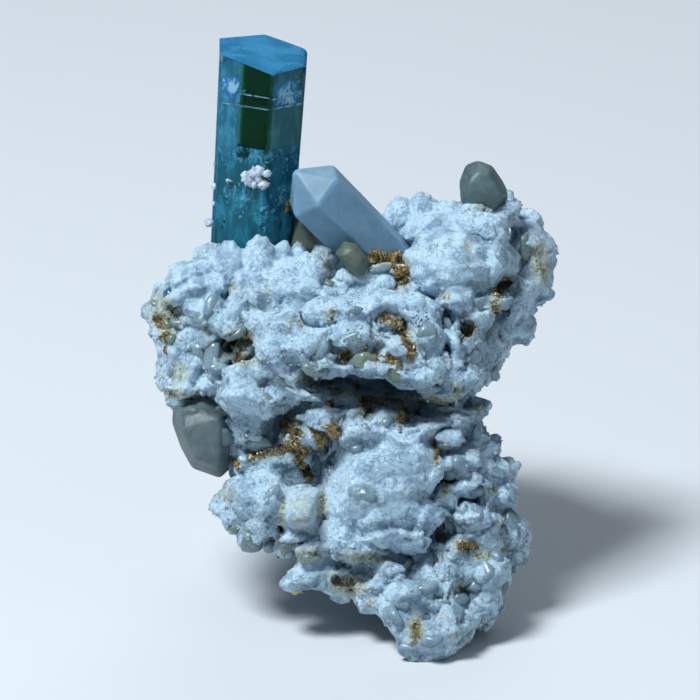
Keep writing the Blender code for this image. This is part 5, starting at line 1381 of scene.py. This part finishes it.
@dataclass
class Rock:
    """The feldspar rock with everything that is set into its surface."""

    sheet: Sheet
    finish: bpy.types.Material
    quartz: bpy.types.Material
    mica: bpy.types.Material
    masses: list = field(default_factory=list)
    surface: Surface | None = None

    SPECKS = 80
    SPECK_PLACE = (8.5, 42.7)
    SPECK_SPREAD = (1.1, 0.45)

    def plan(self) -> list[RockMass]:
        """The masses that make up the rock, with the seeds that the lumps' chips follow."""
        groups = (
            ("rock_upper_left", UPPER_LEFT_LUMPS, LEFT_DOMES, LEFT_FILLERS, 50),
            ("rock_upper_front", UPPER_FRONT_LUMPS, (), FRONT_FILLERS, 40),
            ("rock_upper_right", UPPER_RIGHT_LUMPS, RIGHT_DOMES, RIGHT_FILLERS, 50),
            ("rock_lower", LOWER_LUMPS, LOWER_DOMES, LOWER_FILLERS, 80),
        )
        seed = 11
        masses = []
        for name, lumps, domes, fillers, crumbs in groups:
            masses.append(RockMass(name, lumps, seed, domes, fillers, crumbs=crumbs))
            seed += len(lumps)
        core = RockMass("rock_core", CORE_LUMPS + BACK_LUMPS, 211, (), CORE_FILLERS, flats=30,
                        chip_depth=0.42,
                        voxel=0.39, crumbs=340, crumb_size=(0.8, 2.8), block=(3.4, 1.3))
        return [*masses, core]

    def pits(self) -> list[bpy.types.Object]:
        """The hollows, as closed meshes to be cut away."""
        made = []
        for number, row in enumerate(ROCK_PITS):
            pile = ShellPile()
            pile.add_lump(self.sheet, row, 700 + number, 10, 0.25, 4)
            made.append(pile.build("pit"))
        return made

    def build(self, cutters: Sequence[bpy.types.Object]) -> list[bpy.types.Object]:
        """Grow every mass and make them ready to be probed.

        Args:
            cutters: closed meshes whose space the rock leaves free; they are used up.

        Returns:
            The masses.
        """
        grain = RockGrain(self.finish)
        self.masses = [mass.build(self.sheet, cutters, grain) for mass in self.plan()]
        for cutter in cutters:
            bpy.data.objects.remove(cutter)
        self.surface = Surface(self.sheet, self.masses)
        return self.masses

    def sugar(self) -> bpy.types.Object:
        """Small white crystals strewn over the rough parts of the front."""
        ball, faces = unit_ball(1)
        pile = ShellPile()
        pile.add(chipped_ball(ball, 5, 4, 0.5), faces, size_matrix(1.0, 0.8, 0.6) @ Matrix.Scale(MM, 4))
        crystal = pile.build("sugar_crystal")
        fronts = self.masses[:4]
        joined = new_object("albite_sugar", mesh_from_arrays("albite_sugar", *gather(fronts)))
        smooth = [read_attribute(obj.data, "smooth") for obj in fronts]
        set_attribute(joined.data, "smooth", np.concatenate(smooth))
        SugarCrystals(self.finish, crystal).run(joined, {"Density": 0.45})
        stand_on_floor(joined.data)
        bpy.data.objects.remove(crystal)
        return joined

    def grains(self) -> bpy.types.Object:
        """Translucent quartz grains, half sunk in the rock."""
        pile = ShellPile()
        for number, (u, v, half_u, half_v, roll, tone) in enumerate(QUARTZ_GRAINS):
            found = self.surface.front(u, v)
            if found is None:
                continue
            half_w = 0.75 * min(half_u, half_v) + 0.25
            row = (u, v, found[0] - 0.62 * half_w, half_u, half_v, half_w, roll)
            pile.add_lump(self.sheet, row, 400 + number, 12, 0.5, 3, 0.12, tone)
        self.set_round(pile, 70, 900, (0.5, 1.7), 0.6)
        return pile.build("quartz_grains", self.quartz)

    def set_round(self, pile: ShellPile, count: int, seed: int, sizes: tuple, sink: float) -> None:
        """Set more blocks into the sides and the back.

        Args:
            pile: the pile that takes them.
            count: how many there are.
            seed: the seed of their places and shapes.
            sizes: the smallest and largest half width, in millimetres.
            sink: how far each lies in the rock, against its half height.
        """
        rng = np.random.default_rng(seed)
        ball, faces = unit_ball(3)
        for number, (hit, normal) in enumerate(self.surface.around(count, seed)):
            half = rng.uniform(*sizes)
            halves = (half, half * rng.uniform(0.6, 0.95), half * rng.uniform(0.5, 0.8))
            spin = Matrix.Rotation(rng.uniform(0, 3), 4, "Z")
            turn = normal.to_track_quat("Z", "Y").to_matrix().to_4x4() @ spin
            middle = Matrix.Translation(hit - normal * sink * halves[2] * MM)
            pile.add(chipped_ball(ball, seed + number, 12, 0.5), faces,
                     middle @ turn @ size_matrix(*halves) @ Matrix.Scale(MM, 4), 0.25 * (number % 3))

    def dark_specks(self, finish: bpy.types.Material) -> bpy.types.Object:
        """Tiny blue-black crystals strewn over one spot of the front."""
        rng = np.random.default_rng(8)
        pile = ShellPile()
        for number in range(self.SPECKS):
            u, v = rng.normal(self.SPECK_PLACE, self.SPECK_SPREAD)
            half = rng.uniform(0.05, 0.17)
            row = (u, v, self.surface.front(u, v)[0], half, half * rng.uniform(0.5, 1.0), half * 0.7,
                   rng.uniform(0, 180))
            pile.add_lump(self.sheet, row, number, 4, 0.3, 1)
        return pile.build("dark_specks", finish)

    def blocks(self) -> bpy.types.Object:
        """White angular blocks and plates that stand out of the rock."""
        pile = ShellPile()
        for number, (u, v, half_u, half_v, roll, rise) in enumerate(ALBITE_BLOCKS):
            found = self.surface.front(u, v)
            if found is None:
                continue
            half_w = 0.6 * min(half_u, half_v) + 0.3
            row = (u, v, found[0] - (1.0 - rise) * half_w, half_u, half_v, half_w, roll)
            pile.add_lump(self.sheet, row, 500 + number, 12, 0.45)
        self.set_round(pile, 90, 1200, (0.8, 2.5), 0.5)
        obj = pile.build("albite_blocks", self.finish)
        stand_on_floor(obj.data)
        return obj

    def mica_seams(self, others: Sequence[bpy.types.Object]) -> bpy.types.Object:
        """Mica books along the seams and in the pockets of the rock.

        Args:
            others: further pieces that the books can stand on.

        Returns:
            The books as one object.
        """
        surface = Surface(self.sheet, [*self.masses, *others])
        rng = np.random.default_rng(77)
        turn = self.sheet.axes()
        places, aims, sizes = [], [], []
        for u0, v0, u1, v1, width, books, size in MICA_SEAMS:
            run = Vector((u1 - u0, v1 - v0, 0.0))
            side = Vector((-run.y, run.x, 0.0)).normalized()
            for _ in range(round(1.3 * books)):
                along = rng.uniform(0, 1)
                across = rng.uniform(-0.5, 0.5) * width
                u, v = u0 + run.x * along + side.x * across, v0 + run.y * along + side.y * across
                found = surface.front(u, v)
                if found is None:
                    continue
                aim = run.normalized() + Vector(rng.normal(0, 0.5, 3))
                places.append(self.sheet.place(u, v, found[0] - rng.uniform(-0.15, 0.20) * size))
                aims.append(turn @ aim.normalized())
                sizes.append(size * rng.uniform(0.7, 1.25) * MM)
        for hit, normal in self.surface.around(9, 61):
            for _ in range(11):
                away = Vector(rng.normal(0, 0.9, 3)) * MM
                spot, _, _, _ = self.surface.tree.ray_cast(hit + away + normal * 4 * MM, -normal)
                if spot is not None:
                    places.append(spot)
                    aims.append(Vector(rng.normal(size=3)).normalized())
                    sizes.append(rng.uniform(0.4, 0.8) * MM)
        mesh = bpy.data.meshes.new("mica_books")
        mesh.from_pydata(places, [], [])
        set_attribute(mesh, "size", np.array(sizes))
        aim_data = mesh.attributes.new("aim", "FLOAT_VECTOR", "POINT")
        aim_data.data.foreach_set("vector", np.array(aims, np.float32).ravel())
        obj = new_object("mica_books", mesh)
        MicaBooks(self.mica).run(obj)
        return obj


# ---------------------------------------------------------------- crystals
def hull_object(name: str, points: Sequence[Vector],
                finish: bpy.types.Material | None = None) -> bpy.types.Object:
    """Convex hull of some points, with flat faces joined, as an object."""
    bm = bmesh.new()
    for point in points:
        bm.verts.new(point)
    hull = bmesh.ops.convex_hull(bm, input=bm.verts)
    loose = [item for item in hull["geom_interior"] if isinstance(item, bmesh.types.BMVert)]
    bmesh.ops.delete(bm, geom=loose, context="VERTS")
    bmesh.ops.dissolve_limit(bm, angle_limit=math.radians(1.5), verts=bm.verts, edges=bm.edges)
    return new_object(name, mesh_from_bmesh(name, bm), finish)


def bevel(obj: bpy.types.Object, width: float, segments: int) -> None:
    """Round an object's edges a little, with the width in millimetres."""
    modifier = obj.modifiers.new("bevel", "BEVEL")
    modifier.width = width * MM
    modifier.segments = segments
    modifier.limit_method = "ANGLE"
    modifier.angle_limit = math.radians(12)
    modifier.harden_normals = False
    settle(obj)


@dataclass
class Beryl:
    """The six-sided aquamarine prism with what grew in it."""

    sheet: Sheet
    finish: bpy.types.Material

    FOOT = (-13.3, 30.0, 33.0)
    HEAD = (-10.95, 30.0, 70.7)
    TAPER = 0.92
    CORNERS = ((1.3, -5.6), (5.5, -2.9), (5.6, 2.6), (0.2, 5.8), (-5.5, 3.2), (-5.4, -2.2))
    TOP_FALL = math.tan(math.radians(5.0))
    FRONT_FALL = math.tan(math.radians(4.5))
    # shifts in x and y, and fall, of the points that cut a corner: a small front face, a worn right edge
    FRONT_CUT = ((0.0, 0.0, 0.9), (-1.5, 1.9, 0.0), (1.6, 1.8, 0.0))
    WORN_EDGE = ((0.0, 0.0, 0.75), (-0.28, 0.0, 0.28), (-0.9, 0.0, 0.0))
    ROOM = 1.004              # width of the room that the rock leaves, against the prism's
    CROWN_FACING = 0.35       # faces that look up more than this belong to the crown
    CLOUD_TOP = 57.8          # z up to which the prism is milky
    ZONE_TOP = 69.6           # z at which the colour zones end under the top face
    CRACK_HEIGHT = 64.6       # z of the healed crack
    WISP_HALF = 0.05          # half the thickness of a wisp's shards
    WISP_SHARDS = 12
    ROSETTE_SPREAD = np.array((1.22, 1.22, 1.5, 1.5))
    LEFT_EDGE = -16.6         # u of the prism's left and right edges
    RIGHT_EDGE = -7.4

    @classmethod
    def outline_mm(cls) -> list[tuple[float, float, float]]:
        """The prism's corner points before the sheet's shift."""
        points = []
        head_x, head_y, head_z = cls.HEAD
        for number, (x, y) in enumerate(cls.CORNERS):
            points.append((cls.FOOT[0] + x * cls.TAPER, cls.FOOT[1] + y * cls.TAPER, cls.FOOT[2]))
            drop = x * cls.TOP_FALL - y * cls.FRONT_FALL
            cuts = {0: cls.FRONT_CUT, 1: cls.WORN_EDGE, 2: cls.WORN_EDGE}.get(number, ((0.0, 0.0, 0.0),))
            points += [(head_x + x + cut_x, head_y + y + cut_y, head_z - drop - fall)
                       for cut_x, cut_y, fall in cuts]
        return points

    def level(self, height: float) -> tuple[Vector, float]:
        """Middle of the prism at a height, and its width there against the top's."""
        foot, head = Vector(self.FOOT), Vector(self.HEAD)
        rise = (height - foot.z) / (head.z - foot.z)
        return foot.lerp(head, rise), self.TAPER + (1.0 - self.TAPER) * rise

    def world(self, x: float, y: float, z: float) -> Vector:
        """A point of the prism in the world, in metres."""
        return Vector((x, y, z)) * MM + self.sheet.shift

    def world_points(self, inset: float = 1.0) -> list[Vector]:
        """The prism's corners in the world, drawn in towards its axis by a share."""
        points = []
        for x, y, z in self.outline_mm():
            axis = self.level(z)[0]
            points.append(self.world(axis.x + (x - axis.x) * inset, axis.y + (y - axis.y) * inset, z))
        return points

    def prism(self, crown: bpy.types.Material) -> bpy.types.Object:
        """The crystal itself, with a matt top face whose colour partly paints a reflection of the light
        above.

        Args:
            crown: the finish of the top face.

        Returns:
            The crystal.
        """
        obj = hull_object("aquamarine_crystal", self.world_points())
        bevel(obj, 0.14, 2)
        obj.data.materials.append(self.finish)
        obj.data.materials.append(crown)
        for face in obj.data.polygons:
            face.material_index = int(face.normal.z > self.CROWN_FACING)
        return obj

    def cutter(self) -> bpy.types.Object:
        """The room that the rock leaves for the crystal."""
        return hull_object("aquamarine_room", self.world_points(self.ROOM))

    def side_point(self, side: int, share: float, height: float, depth: float) -> Vector:
        """World position of a point behind one side face of the prism.

        Args:
            side: number of the corner at which the face begins.
            share: how far the point lies from that corner to the next.
            height: its z in millimetres.
            depth: how far it lies behind the face, in millimetres.

        Returns:
            The point, in metres.
        """
        axis, width = self.level(height)
        first, second = (Vector((*self.CORNERS[number % 6], 0.0)) * width for number in (side, side + 1))
        along = second - first
        inward = Vector((-along.y, along.x, 0.0)).normalized()
        flat = Vector((axis.x, axis.y, 0.0)) + first.lerp(second, share) + inward * depth
        return self.world(flat.x, flat.y, height)

    def zone(self, name: str, side: int, shares: tuple, heights: tuple, depths: tuple,
             finish: bpy.types.Material) -> bpy.types.Object:
        """A zone inside the prism, behind one of its side faces; some zones are milky growth, others paint
        light and shade.

        Args:
            name: the zone's name.
            side: number of the corner at which the face begins.
            shares: where the zone begins and ends along the face.
            heights: its lowest z and its highest at either end, in millimetres.
            depths: its front and back, in millimetres behind the face.
            finish: its material.

        Returns:
            The zone.
        """
        low, *tops = heights
        points = [self.side_point(side, share, height, depth)
                  for share, top in zip(shares, (tops[0], tops[-1]))
                  for height in (low, top) for depth in depths]
        return hull_object(name, points, finish)

    def slice(self, name: str, heights: tuple, inset: float, finish: bpy.types.Material) -> bpy.types.Object:
        """A slice of the prism's own shape, drawn in from its sides.

        Args:
            name: the slice's name.
            heights: its lowest and highest z, in millimetres.
            inset: its width against the prism's.
            finish: its material.

        Returns:
            The slice.
        """
        points = []
        for height in heights:
            axis, width = self.level(height)
            width *= inset
            points += [self.world(axis.x + x * width, axis.y + y * width, height) for x, y in self.CORNERS]
        return hull_object(name, points, finish)

    def wisps(self, name: str, rows: Sequence[tuple], depth: float,
              finish: bpy.types.Material, crystal: bpy.types.Object) -> bpy.types.Object:
        """Small healed cracks and specks a little way inside the prism.

        Args:
            name: the piece's name.
            rows: (u, v, half_u, half_v, roll) of each one.
            depth: how deep they lie behind the surface, in millimetres.
            finish: their material.
            crystal: the prism.

        Returns:
            The wisps as one object.
        """
        surface = Surface(self.sheet, [crystal])
        pile = ShellPile()
        rng = np.random.default_rng(19)
        for u, v, *halves, roll in rows:
            angle = math.radians(roll)
            for number in range(self.WISP_SHARDS):
                along, across = np.clip(rng.normal(0, 0.5, 2), -1.0, 1.0) * halves
                shard_u = u + along * math.cos(angle) - across * math.sin(angle)
                shard_v = v + along * math.sin(angle) + across * math.cos(angle)
                found = surface.front(shard_u, shard_v)
                if found is None:
                    continue
                size = rng.uniform(0.08, 0.30) * np.array(halves) + 0.025
                row = (shard_u, shard_v, found[0] - depth - rng.uniform(0, 0.5), *size, self.WISP_HALF,
                       roll + rng.uniform(-30, 30))
                pile.add_lump(self.sheet, row, 600 + number, 7, 0.5, 2)
        return pile.build(name, finish)

    def inner_pieces(self, crystal: bpy.types.Object) -> list[bpy.types.Object]:
        """Everything in the prism: zones of growth and of painted light and shade, healed crack, cloud and
        wisps.
        """
        veils = {name: VeilFinish(name, *values).make() for name, values in VEILS.items()}
        # Painted shade: the green zone darkens the view through the front, standing in for dark surroundings.
        veils["green_window_shade"] = ClearZoneFinish("green_window_shade", (0.06, 0.54, 0.10), 2400.0).make()
        crack = self.CRACK_HEIGHT
        zones = [self.zone(name, side, shares, heights, depths, veils[veil])
                 for name, side, shares, heights, depths, veil in self.zone_rows()]
        return [
            *zones,
            self.slice("healed_crack", (crack, crack + 0.08), 0.95, veils["healed_crack"]),
            self.slice("milky_cloud", (33.5, self.CLOUD_TOP), 0.90, veils["milky_cloud"]),
            self.wisps("pale_wisps", PALE_WISPS, 0.24, veils["pale_wisps"], crystal),
            self.wisps("dark_wisps", DARK_WISPS, 0.34, veils["dark_wisps"], crystal),
        ]

    def zone_rows(self) -> list[tuple]:
        """Name, face, shares, heights, depths and finish of each zone."""
        right, side, left, front = 0, 1, 4, 5
        cloud, top, crack = self.CLOUD_TOP, self.ZONE_TOP, self.CRACK_HEIGHT
        wisp, veil, line = (0.26, 0.40), (0.5, 0.7), (0.10, 0.22)
        return [
            # Painted light: the pale zones brighten the view through the left of the prism.
            ("pale_zone_left", front, (0.04, 0.40), (cloud, 70.8, 70.1), veil, "pale_zone"),
            ("pale_zone_sliver", left, (0.1, 0.95), (36.0, top), veil, "pale_zone"),
            # Painted shade: the green zone and its edge darken the view through the front to a deep green.
            ("green_zone", front, (0.41, 0.99), (cloud - 0.6, 70.2, 69.1), (0.4, 3.0), "green_window_shade"),
            ("green_edge", right, (0.0, 0.07), (cloud - 0.4, top - 1.2), (0.3, 1.2), "green_window_shade"),
            # Painted shade: a dimmer grey-blue view through the right faces.
            ("grey_zone_side", side, (0.02, 0.98), (cloud, top - 0.9), (0.4, 0.6), "grey_zone"),
            ("cloud_edge_left", front, (0.05, 0.97), (cloud - 0.8, cloud + 1.4), (0.26, 0.44), "cloud_edge"),
            ("cloud_band_left", front, (0.15, 0.97), (52.2, 54.4), wisp, "blue_wisps"),
            ("cloud_band_right", right, (0.03, 0.80), (51.6, 54.6), wisp, "blue_wisps"),
            ("cloud_edge_right", right, (0.03, 0.96), (cloud - 0.8, cloud + 1.5), (0.26, 0.44), "cloud_edge"),
            # Painted shade: a dimmer grey-blue view through the right faces.
            ("grey_zone_right", right, (0.08, 0.97), (cloud, top - 0.5, top - 0.2), veil, "grey_zone"),
            # The rows below paint highlights and glows where light catches the healed crack.
            ("crack_line_right", right, (0.05, 0.94), (crack + 1.3, crack + 1.42, crack + 1.9), (0.10, 0.20),
             "crack_highlight"),
            ("crack_line_left", front, (0.40, 0.97), (crack + 1.5, crack + 1.7, crack + 1.6), (0.10, 0.20),
             "crack_highlight"),
            ("glow_right", right, (0.10, 0.97), (64.9, 69.3), (0.16, 0.26), "right_glow"),
            ("glow_left", front, (0.05, 0.39), (64.9, 70.0), (0.16, 0.26), "left_glow"),
            ("crack_rim_right", right, (0.10, 0.97), (crack, crack + 0.22), line, "crack_highlight"),
            ("crack_rim_left", front, (0.06, 0.97), (crack - 0.05, crack + 0.08), line, "crack_highlight"),
        ]

    def rosette(self, finish: bpy.types.Material, crystal: bpy.types.Object) -> bpy.types.Object:
        """The white albite rosette on the front of the prism.

        Args:
            finish: its material.
            crystal: the prism.

        Returns:
            The rosette.
        """
        surface = Surface(self.sheet, [crystal])
        ball, faces = unit_ball(4)
        pile = ShellPile()
        for number, row in enumerate(ROSETTE_LOBES):
            du, dv, half_u, half_v = np.array(row) * self.ROSETTE_SPREAD
            u, v = ROSETTE_PLACE[0] + du, ROSETTE_PLACE[1] + dv
            half_w = 0.75 * min(half_u, half_v)
            lump = Lump(u, v, surface.front(u, v)[0] + 0.45 * half_w, half_u, half_v, half_w, 20 * number)
            shape = rib_radius(ball, 9, 0.12) if half_u > 0.4 else ball
            pile.add(chipped_ball(ball, 60 + number, 9, 0.4) * shape, faces, lump_matrix(self.sheet, lump))
        return pile.build("albite_rosette_crystals", finish)

    def beads(self, finish: bpy.types.Material, crystal: bpy.types.Object) -> bpy.types.Object:
        """Small white beads on the front and on the left edge of the prism.

        Args:
            finish: their material.
            crystal: the prism.

        Returns:
            The beads as one object.
        """
        surface = Surface(self.sheet, [crystal])
        pile = ShellPile()
        for number, (u, v, half_u, half_v) in enumerate(PRISM_BEADS):
            found = surface.front(min(max(u, self.LEFT_EDGE), self.RIGHT_EDGE), v)
            half_w = max(half_u, half_v) * 0.9
            row = (u, v, found[0] + 0.3 * half_w, half_u, half_v, half_w)
            pile.add_lump(self.sheet, row, 80 + number, 8, 0.25, 4)
        return pile.build("albite_beads", finish)


@dataclass
class QuartzPoint:
    """The frosted quartz crystal that leans in front of the prism."""

    sheet: Sheet
    finish: bpy.types.Material

    ROOT = (8.3, 46.5, -12.5)
    TIP = (-7.2, 61.8, -2.3)
    ACROSS = 7.4
    ROOT_WIDTH = 0.94         # against the width at the shoulder
    POINT_ANGLE = math.radians(42.0)
    TURN = math.radians(-12.0)
    ROOM = 1.004

    def points(self, swell: float = 1.0) -> list[Vector]:
        """The crystal's corners in the world, swollen from its axis by a share."""
        root, tip = self.sheet.place(*self.ROOT), self.sheet.place(*self.TIP)
        axis = tip - root
        front = (self.sheet.place(0, 0, 1) - self.sheet.place(0, 0, 0)).normalized()
        side = axis.cross(front).normalized()
        front = side.cross(axis).normalized()
        corner = 0.5 * self.ACROSS / math.cos(math.radians(30)) * MM * swell
        shoulder = tip - axis.normalized() * 0.5 * self.ACROSS / math.tan(self.POINT_ANGLE) * MM
        made = [tip]
        for number in range(6):
            angle = number * math.pi / 3 + self.TURN
            spoke = (front * math.cos(angle) + side * math.sin(angle)) * corner
            made += [root + spoke * self.ROOT_WIDTH, shoulder + spoke]
        return made

    def crystal(self) -> bpy.types.Object:
        """The crystal itself."""
        obj = hull_object("leaning_quartz", self.points())
        bevel(obj, 0.30, 3)
        obj.data.materials.append(self.finish)
        return obj

    def cutter(self) -> bpy.types.Object:
        """The room that the rock leaves for the crystal."""
        return hull_object("quartz_room", self.points(self.ROOM))


@dataclass
class WornQuartz:
    """Rounded quartz pieces with worn faces."""

    sheet: Sheet
    face_inset: float = 0.62
    face_depth: float = 0.5
    grain: float = 0.22
    rounds: int = 24

    def outlined(self, name: str, outline: Sequence[tuple], depth: tuple,
                 finish: bpy.types.Material) -> bpy.types.Object:
        """Quartz lump with flat front and back faces round a given outline.

        Args:
            name: the piece's name.
            outline: its corners on the sheet.
            depth: its middle w and half depth.
            finish: its material.

        Returns:
            The piece.
        """
        middle, half_depth = depth
        corners = np.array(outline)
        centre = sum(corners) / len(corners)
        steps = ((0.5 * (1 + self.face_inset), self.face_depth), (self.face_inset, 1.0))
        points = []
        for number, corner in enumerate(corners):
            wobble = 0.12 * half_depth * math.cos(2.4 * number)
            points.append(self.sheet.place(*corner, middle + wobble))
            for side in (-1, 1):
                for inset, step in steps:
                    inner = centre + (corner - centre) * inset
                    points.append(self.sheet.place(*inner, middle + side * step * half_depth + wobble))
        obj = hull_object(name, points)
        melt(obj, self.grain)
        smooth_modifier(obj, self.rounds)
        settle(obj)
        obj.data.shade_smooth()
        obj.data.materials.clear()
        obj.data.materials.append(finish)
        return obj

    def lump(self, name: str, rows: Sequence[tuple], seed: int, finish: bpy.types.Material,
             flats: int = 10) -> bpy.types.Object:
        """Lumps with broken faces.

        Args:
            name: the piece's name.
            rows: the lumps, which may overlap.
            seed: the seed of their faces.
            finish: their material.
            flats: how many faces each lump has.

        Returns:
            The piece.
        """
        pile = ShellPile()
        for number, row in enumerate(rows):
            pile.add_lump(self.sheet, row, seed + number, flats, 0.3, 4)
        obj = pile.build(name, finish)
        obj.data.shade_smooth()
        return obj


# ---------------------------------------------------------------- studio
@dataclass(frozen=True)
class Studio:
    """Pale floor, soft lights and the camera."""

    sheet: Sheet
    middle: tuple = (0.0, 39.125, 0.0)
    frame_width: float = 87.5
    distance: float = 0.8
    sensor: float = 36.0
    floor_size: float = 6.0

    def floor(self) -> bpy.types.Object:
        """A wide pale floor."""
        bm = bmesh.new()
        bmesh.ops.create_grid(bm, x_segments=1, y_segments=1, size=self.floor_size)
        floor = new_object("studio_floor", mesh_from_bmesh("studio_floor", bm))
        material, _, shader = new_material("floor_paper")
        shader.inputs["Base Color"].default_value = (0.62, 0.64, 0.66, 1.0)
        shader.inputs["Roughness"].default_value = 0.9
        floor.data.materials.append(material)
        return floor

    def light(self, name: str, place: tuple, size: float, power: float, colour: tuple) -> None:
        """One soft square light that faces the specimen."""
        data = bpy.data.lights.new(name, "AREA")
        data.shape = "SQUARE"
        data.size = size
        data.energy = power
        data.color = colour
        lamp = bpy.data.objects.new(name, data)
        lamp.location = place
        lamp.rotation_euler = (Vector((0, 0, 0.04)) - Vector(place)).to_track_quat("-Z", "Y").to_euler()
        bpy.context.scene.collection.objects.link(lamp)

    def camera(self) -> None:
        """The camera, square to the sheet."""
        data = bpy.data.cameras.new("camera")
        data.sensor_width = self.sensor
        data.lens = self.sensor * self.distance / (self.frame_width * MM)
        data.clip_start = 0.05
        data.clip_end = 20.0
        camera = bpy.data.objects.new("camera", data)
        u, v, w = self.middle
        camera.location = self.sheet.place(u, v, w + self.distance / MM)
        aim = self.sheet.place(u, v, w) - camera.location
        camera.rotation_euler = aim.to_track_quat("-Z", "Y").to_euler()
        bpy.context.scene.collection.objects.link(camera)
        bpy.context.scene.camera = camera

    def world(self) -> None:
        """Even pale surroundings."""
        world = bpy.data.worlds.new("studio_air")
        world.use_nodes = True
        background = world.node_tree.nodes["Background"]
        background.inputs["Color"].default_value = (0.72, 0.82, 0.95, 1.0)
        background.inputs["Strength"].default_value = 0.15
        bpy.context.scene.world = world

    def build(self) -> None:
        """Set up the floor, the camera, the lights and the surroundings."""
        self.floor()
        self.camera()
        self.world()
        self.light("key", (-0.35, -0.30, 0.85), 0.28, 12.0, (0.88, 0.95, 1.0))
        self.light("fill", (0.8, -0.4, 0.40), 0.5, 0.8, (0.75, 0.88, 1.0))
        self.light("rim", (0.1, 0.7, 0.7), 0.5, 2.0, (0.85, 0.93, 1.0))
        bpy.context.scene.view_settings.view_transform = "Standard"


# ---------------------------------------------------------------- putting it together
def finish_piece(obj: bpy.types.Object, slot: Slot, *nodes: str) -> None:
    """Ride a piece on the specimen, hide the nodes that it stands for and log its triangles with a finish
    name.

    Args:
        obj: the finished piece.
        slot: the finish named in its log line.
        nodes: the frame's nodes that it stands for.
    """
    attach(obj, BODY)
    if nodes:
        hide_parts(*nodes)
    obj.data.calc_loop_triangles()
    log.info("%s: %d triangles, finish %s", obj.name, len(obj.data.loop_triangles), slot.value)


def main() -> None:
    """Build the specimen and its studio."""
    logging.basicConfig(level=logging.INFO, format="%(name)s: %(message)s")
    sheet = read_sheet()
    albite, bead, mica = AlbiteFinish().make(), BeadFinish().make(), MicaFinish().make()
    frosted = QuartzFinish("frosted_quartz", (0.20, 0.37, 0.51), (0.15, 0.29, 0.41), 0.25, 0.55, glow=0.9,
                           relief=0.02).make()
    grains = QuartzFinish("quartz_grains", (0.30, 0.44, 0.55), (0.17, 0.27, 0.35), 0.25, 0.34, toned=True,
                          glow=0.3, relief=0.02).make()
    smoky = QuartzFinish("smoky_quartz", (0.13, 0.21, 0.22), (0.08, 0.13, 0.13), 0.45, 0.6, glow=0.5).make()
    nodule_quartz = QuartzFinish("nodule_quartz", (0.18, 0.25, 0.27), (0.10, 0.15, 0.16), 0.45, 0.6,
                                 glow=0.6).make()
    olive = QuartzFinish("olive_quartz", (0.15, 0.20, 0.16), (0.10, 0.13, 0.08), 0.4, 0.62, glow=0.6).make()
    blue = QuartzFinish("blue_beryl", (0.04, 0.17, 0.30), (0.02, 0.10, 0.18), 0.4, 0.3).make()
    beryl = Beryl(sheet, BerylFinish().make())
    point = QuartzPoint(sheet, frosted)
    rock = Rock(sheet, albite, grains, mica)
    masses = rock.build([beryl.cutter(), point.cutter(), *rock.pits()])
    finish_piece(masses[0], Slot.ROCK, "matrix")
    for mass in masses[1:]:
        finish_piece(mass, Slot.ROCK)
    finish_piece(rock.sugar(), Slot.ROCK)
    finish_piece(rock.blocks(), Slot.ROCK)
    finish_piece(rock.grains(), Slot.OLIVE, "olive_quartz_shelf", "quartz_left_edge")
    finish_piece(rock.dark_specks(blue), Slot.BLUE)
    crystal = beryl.prism(CrownFinish().make())
    finish_piece(crystal, Slot.BERYL, "aquamarine")
    for piece in beryl.inner_pieces(crystal):
        finish_piece(piece, Slot.BERYL)
    finish_piece(beryl.rosette(bead, crystal), Slot.BEAD, "albite_rosette")
    beads = beryl.beads(bead, crystal)
    finish_piece(beads, Slot.BEAD, "albite_bead_low", "albite_bead_side", "albite_bead_front")
    leaning = point.crystal()
    finish_piece(leaning, Slot.FROSTED, "quartz_point")
    worn = WornQuartz(sheet)
    finish_piece(worn.outlined("worn_knob", KNOB_OUTLINE, KNOB_DEPTH, smoky), Slot.SMOKY, "smoky_knob")
    nodule = worn.outlined("clear_nodule", NODULE_OUTLINE, NODULE_DEPTH, nodule_quartz)
    finish_piece(nodule, Slot.SMOKY, "quartz_nodule")
    finish_piece(worn.lump("quartz_behind", (QUARTZ_BEHIND,), 71, smoky, 7), Slot.SMOKY)
    finish_piece(worn.lump("nodule_plates", NODULE_PLATES, 340, nodule_quartz), Slot.SMOKY)
    front_grain = worn.outlined("olive_grain_front", OLIVE_FRONT_OUTLINE, OLIVE_FRONT_DEPTH, olive)
    finish_piece(front_grain, Slot.OLIVE, "olive_quartz_front")
    cleft_grain = worn.outlined("olive_grain_cleft", OLIVE_CLEFT_OUTLINE, OLIVE_CLEFT_DEPTH, olive)
    finish_piece(cleft_grain, Slot.OLIVE, "olive_quartz_cleft")
    finish_piece(worn.lump("blue_crystal", (BLUE_BERYL,), 302, blue, 8), Slot.BLUE, "blue_beryl_small")
    books = rock.mica_seams([crystal, leaning])
    finish_piece(books, Slot.MICA, *[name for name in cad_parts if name.startswith("mica_")])
    Studio(sheet).build()


if __name__ == "__main__":
    main()
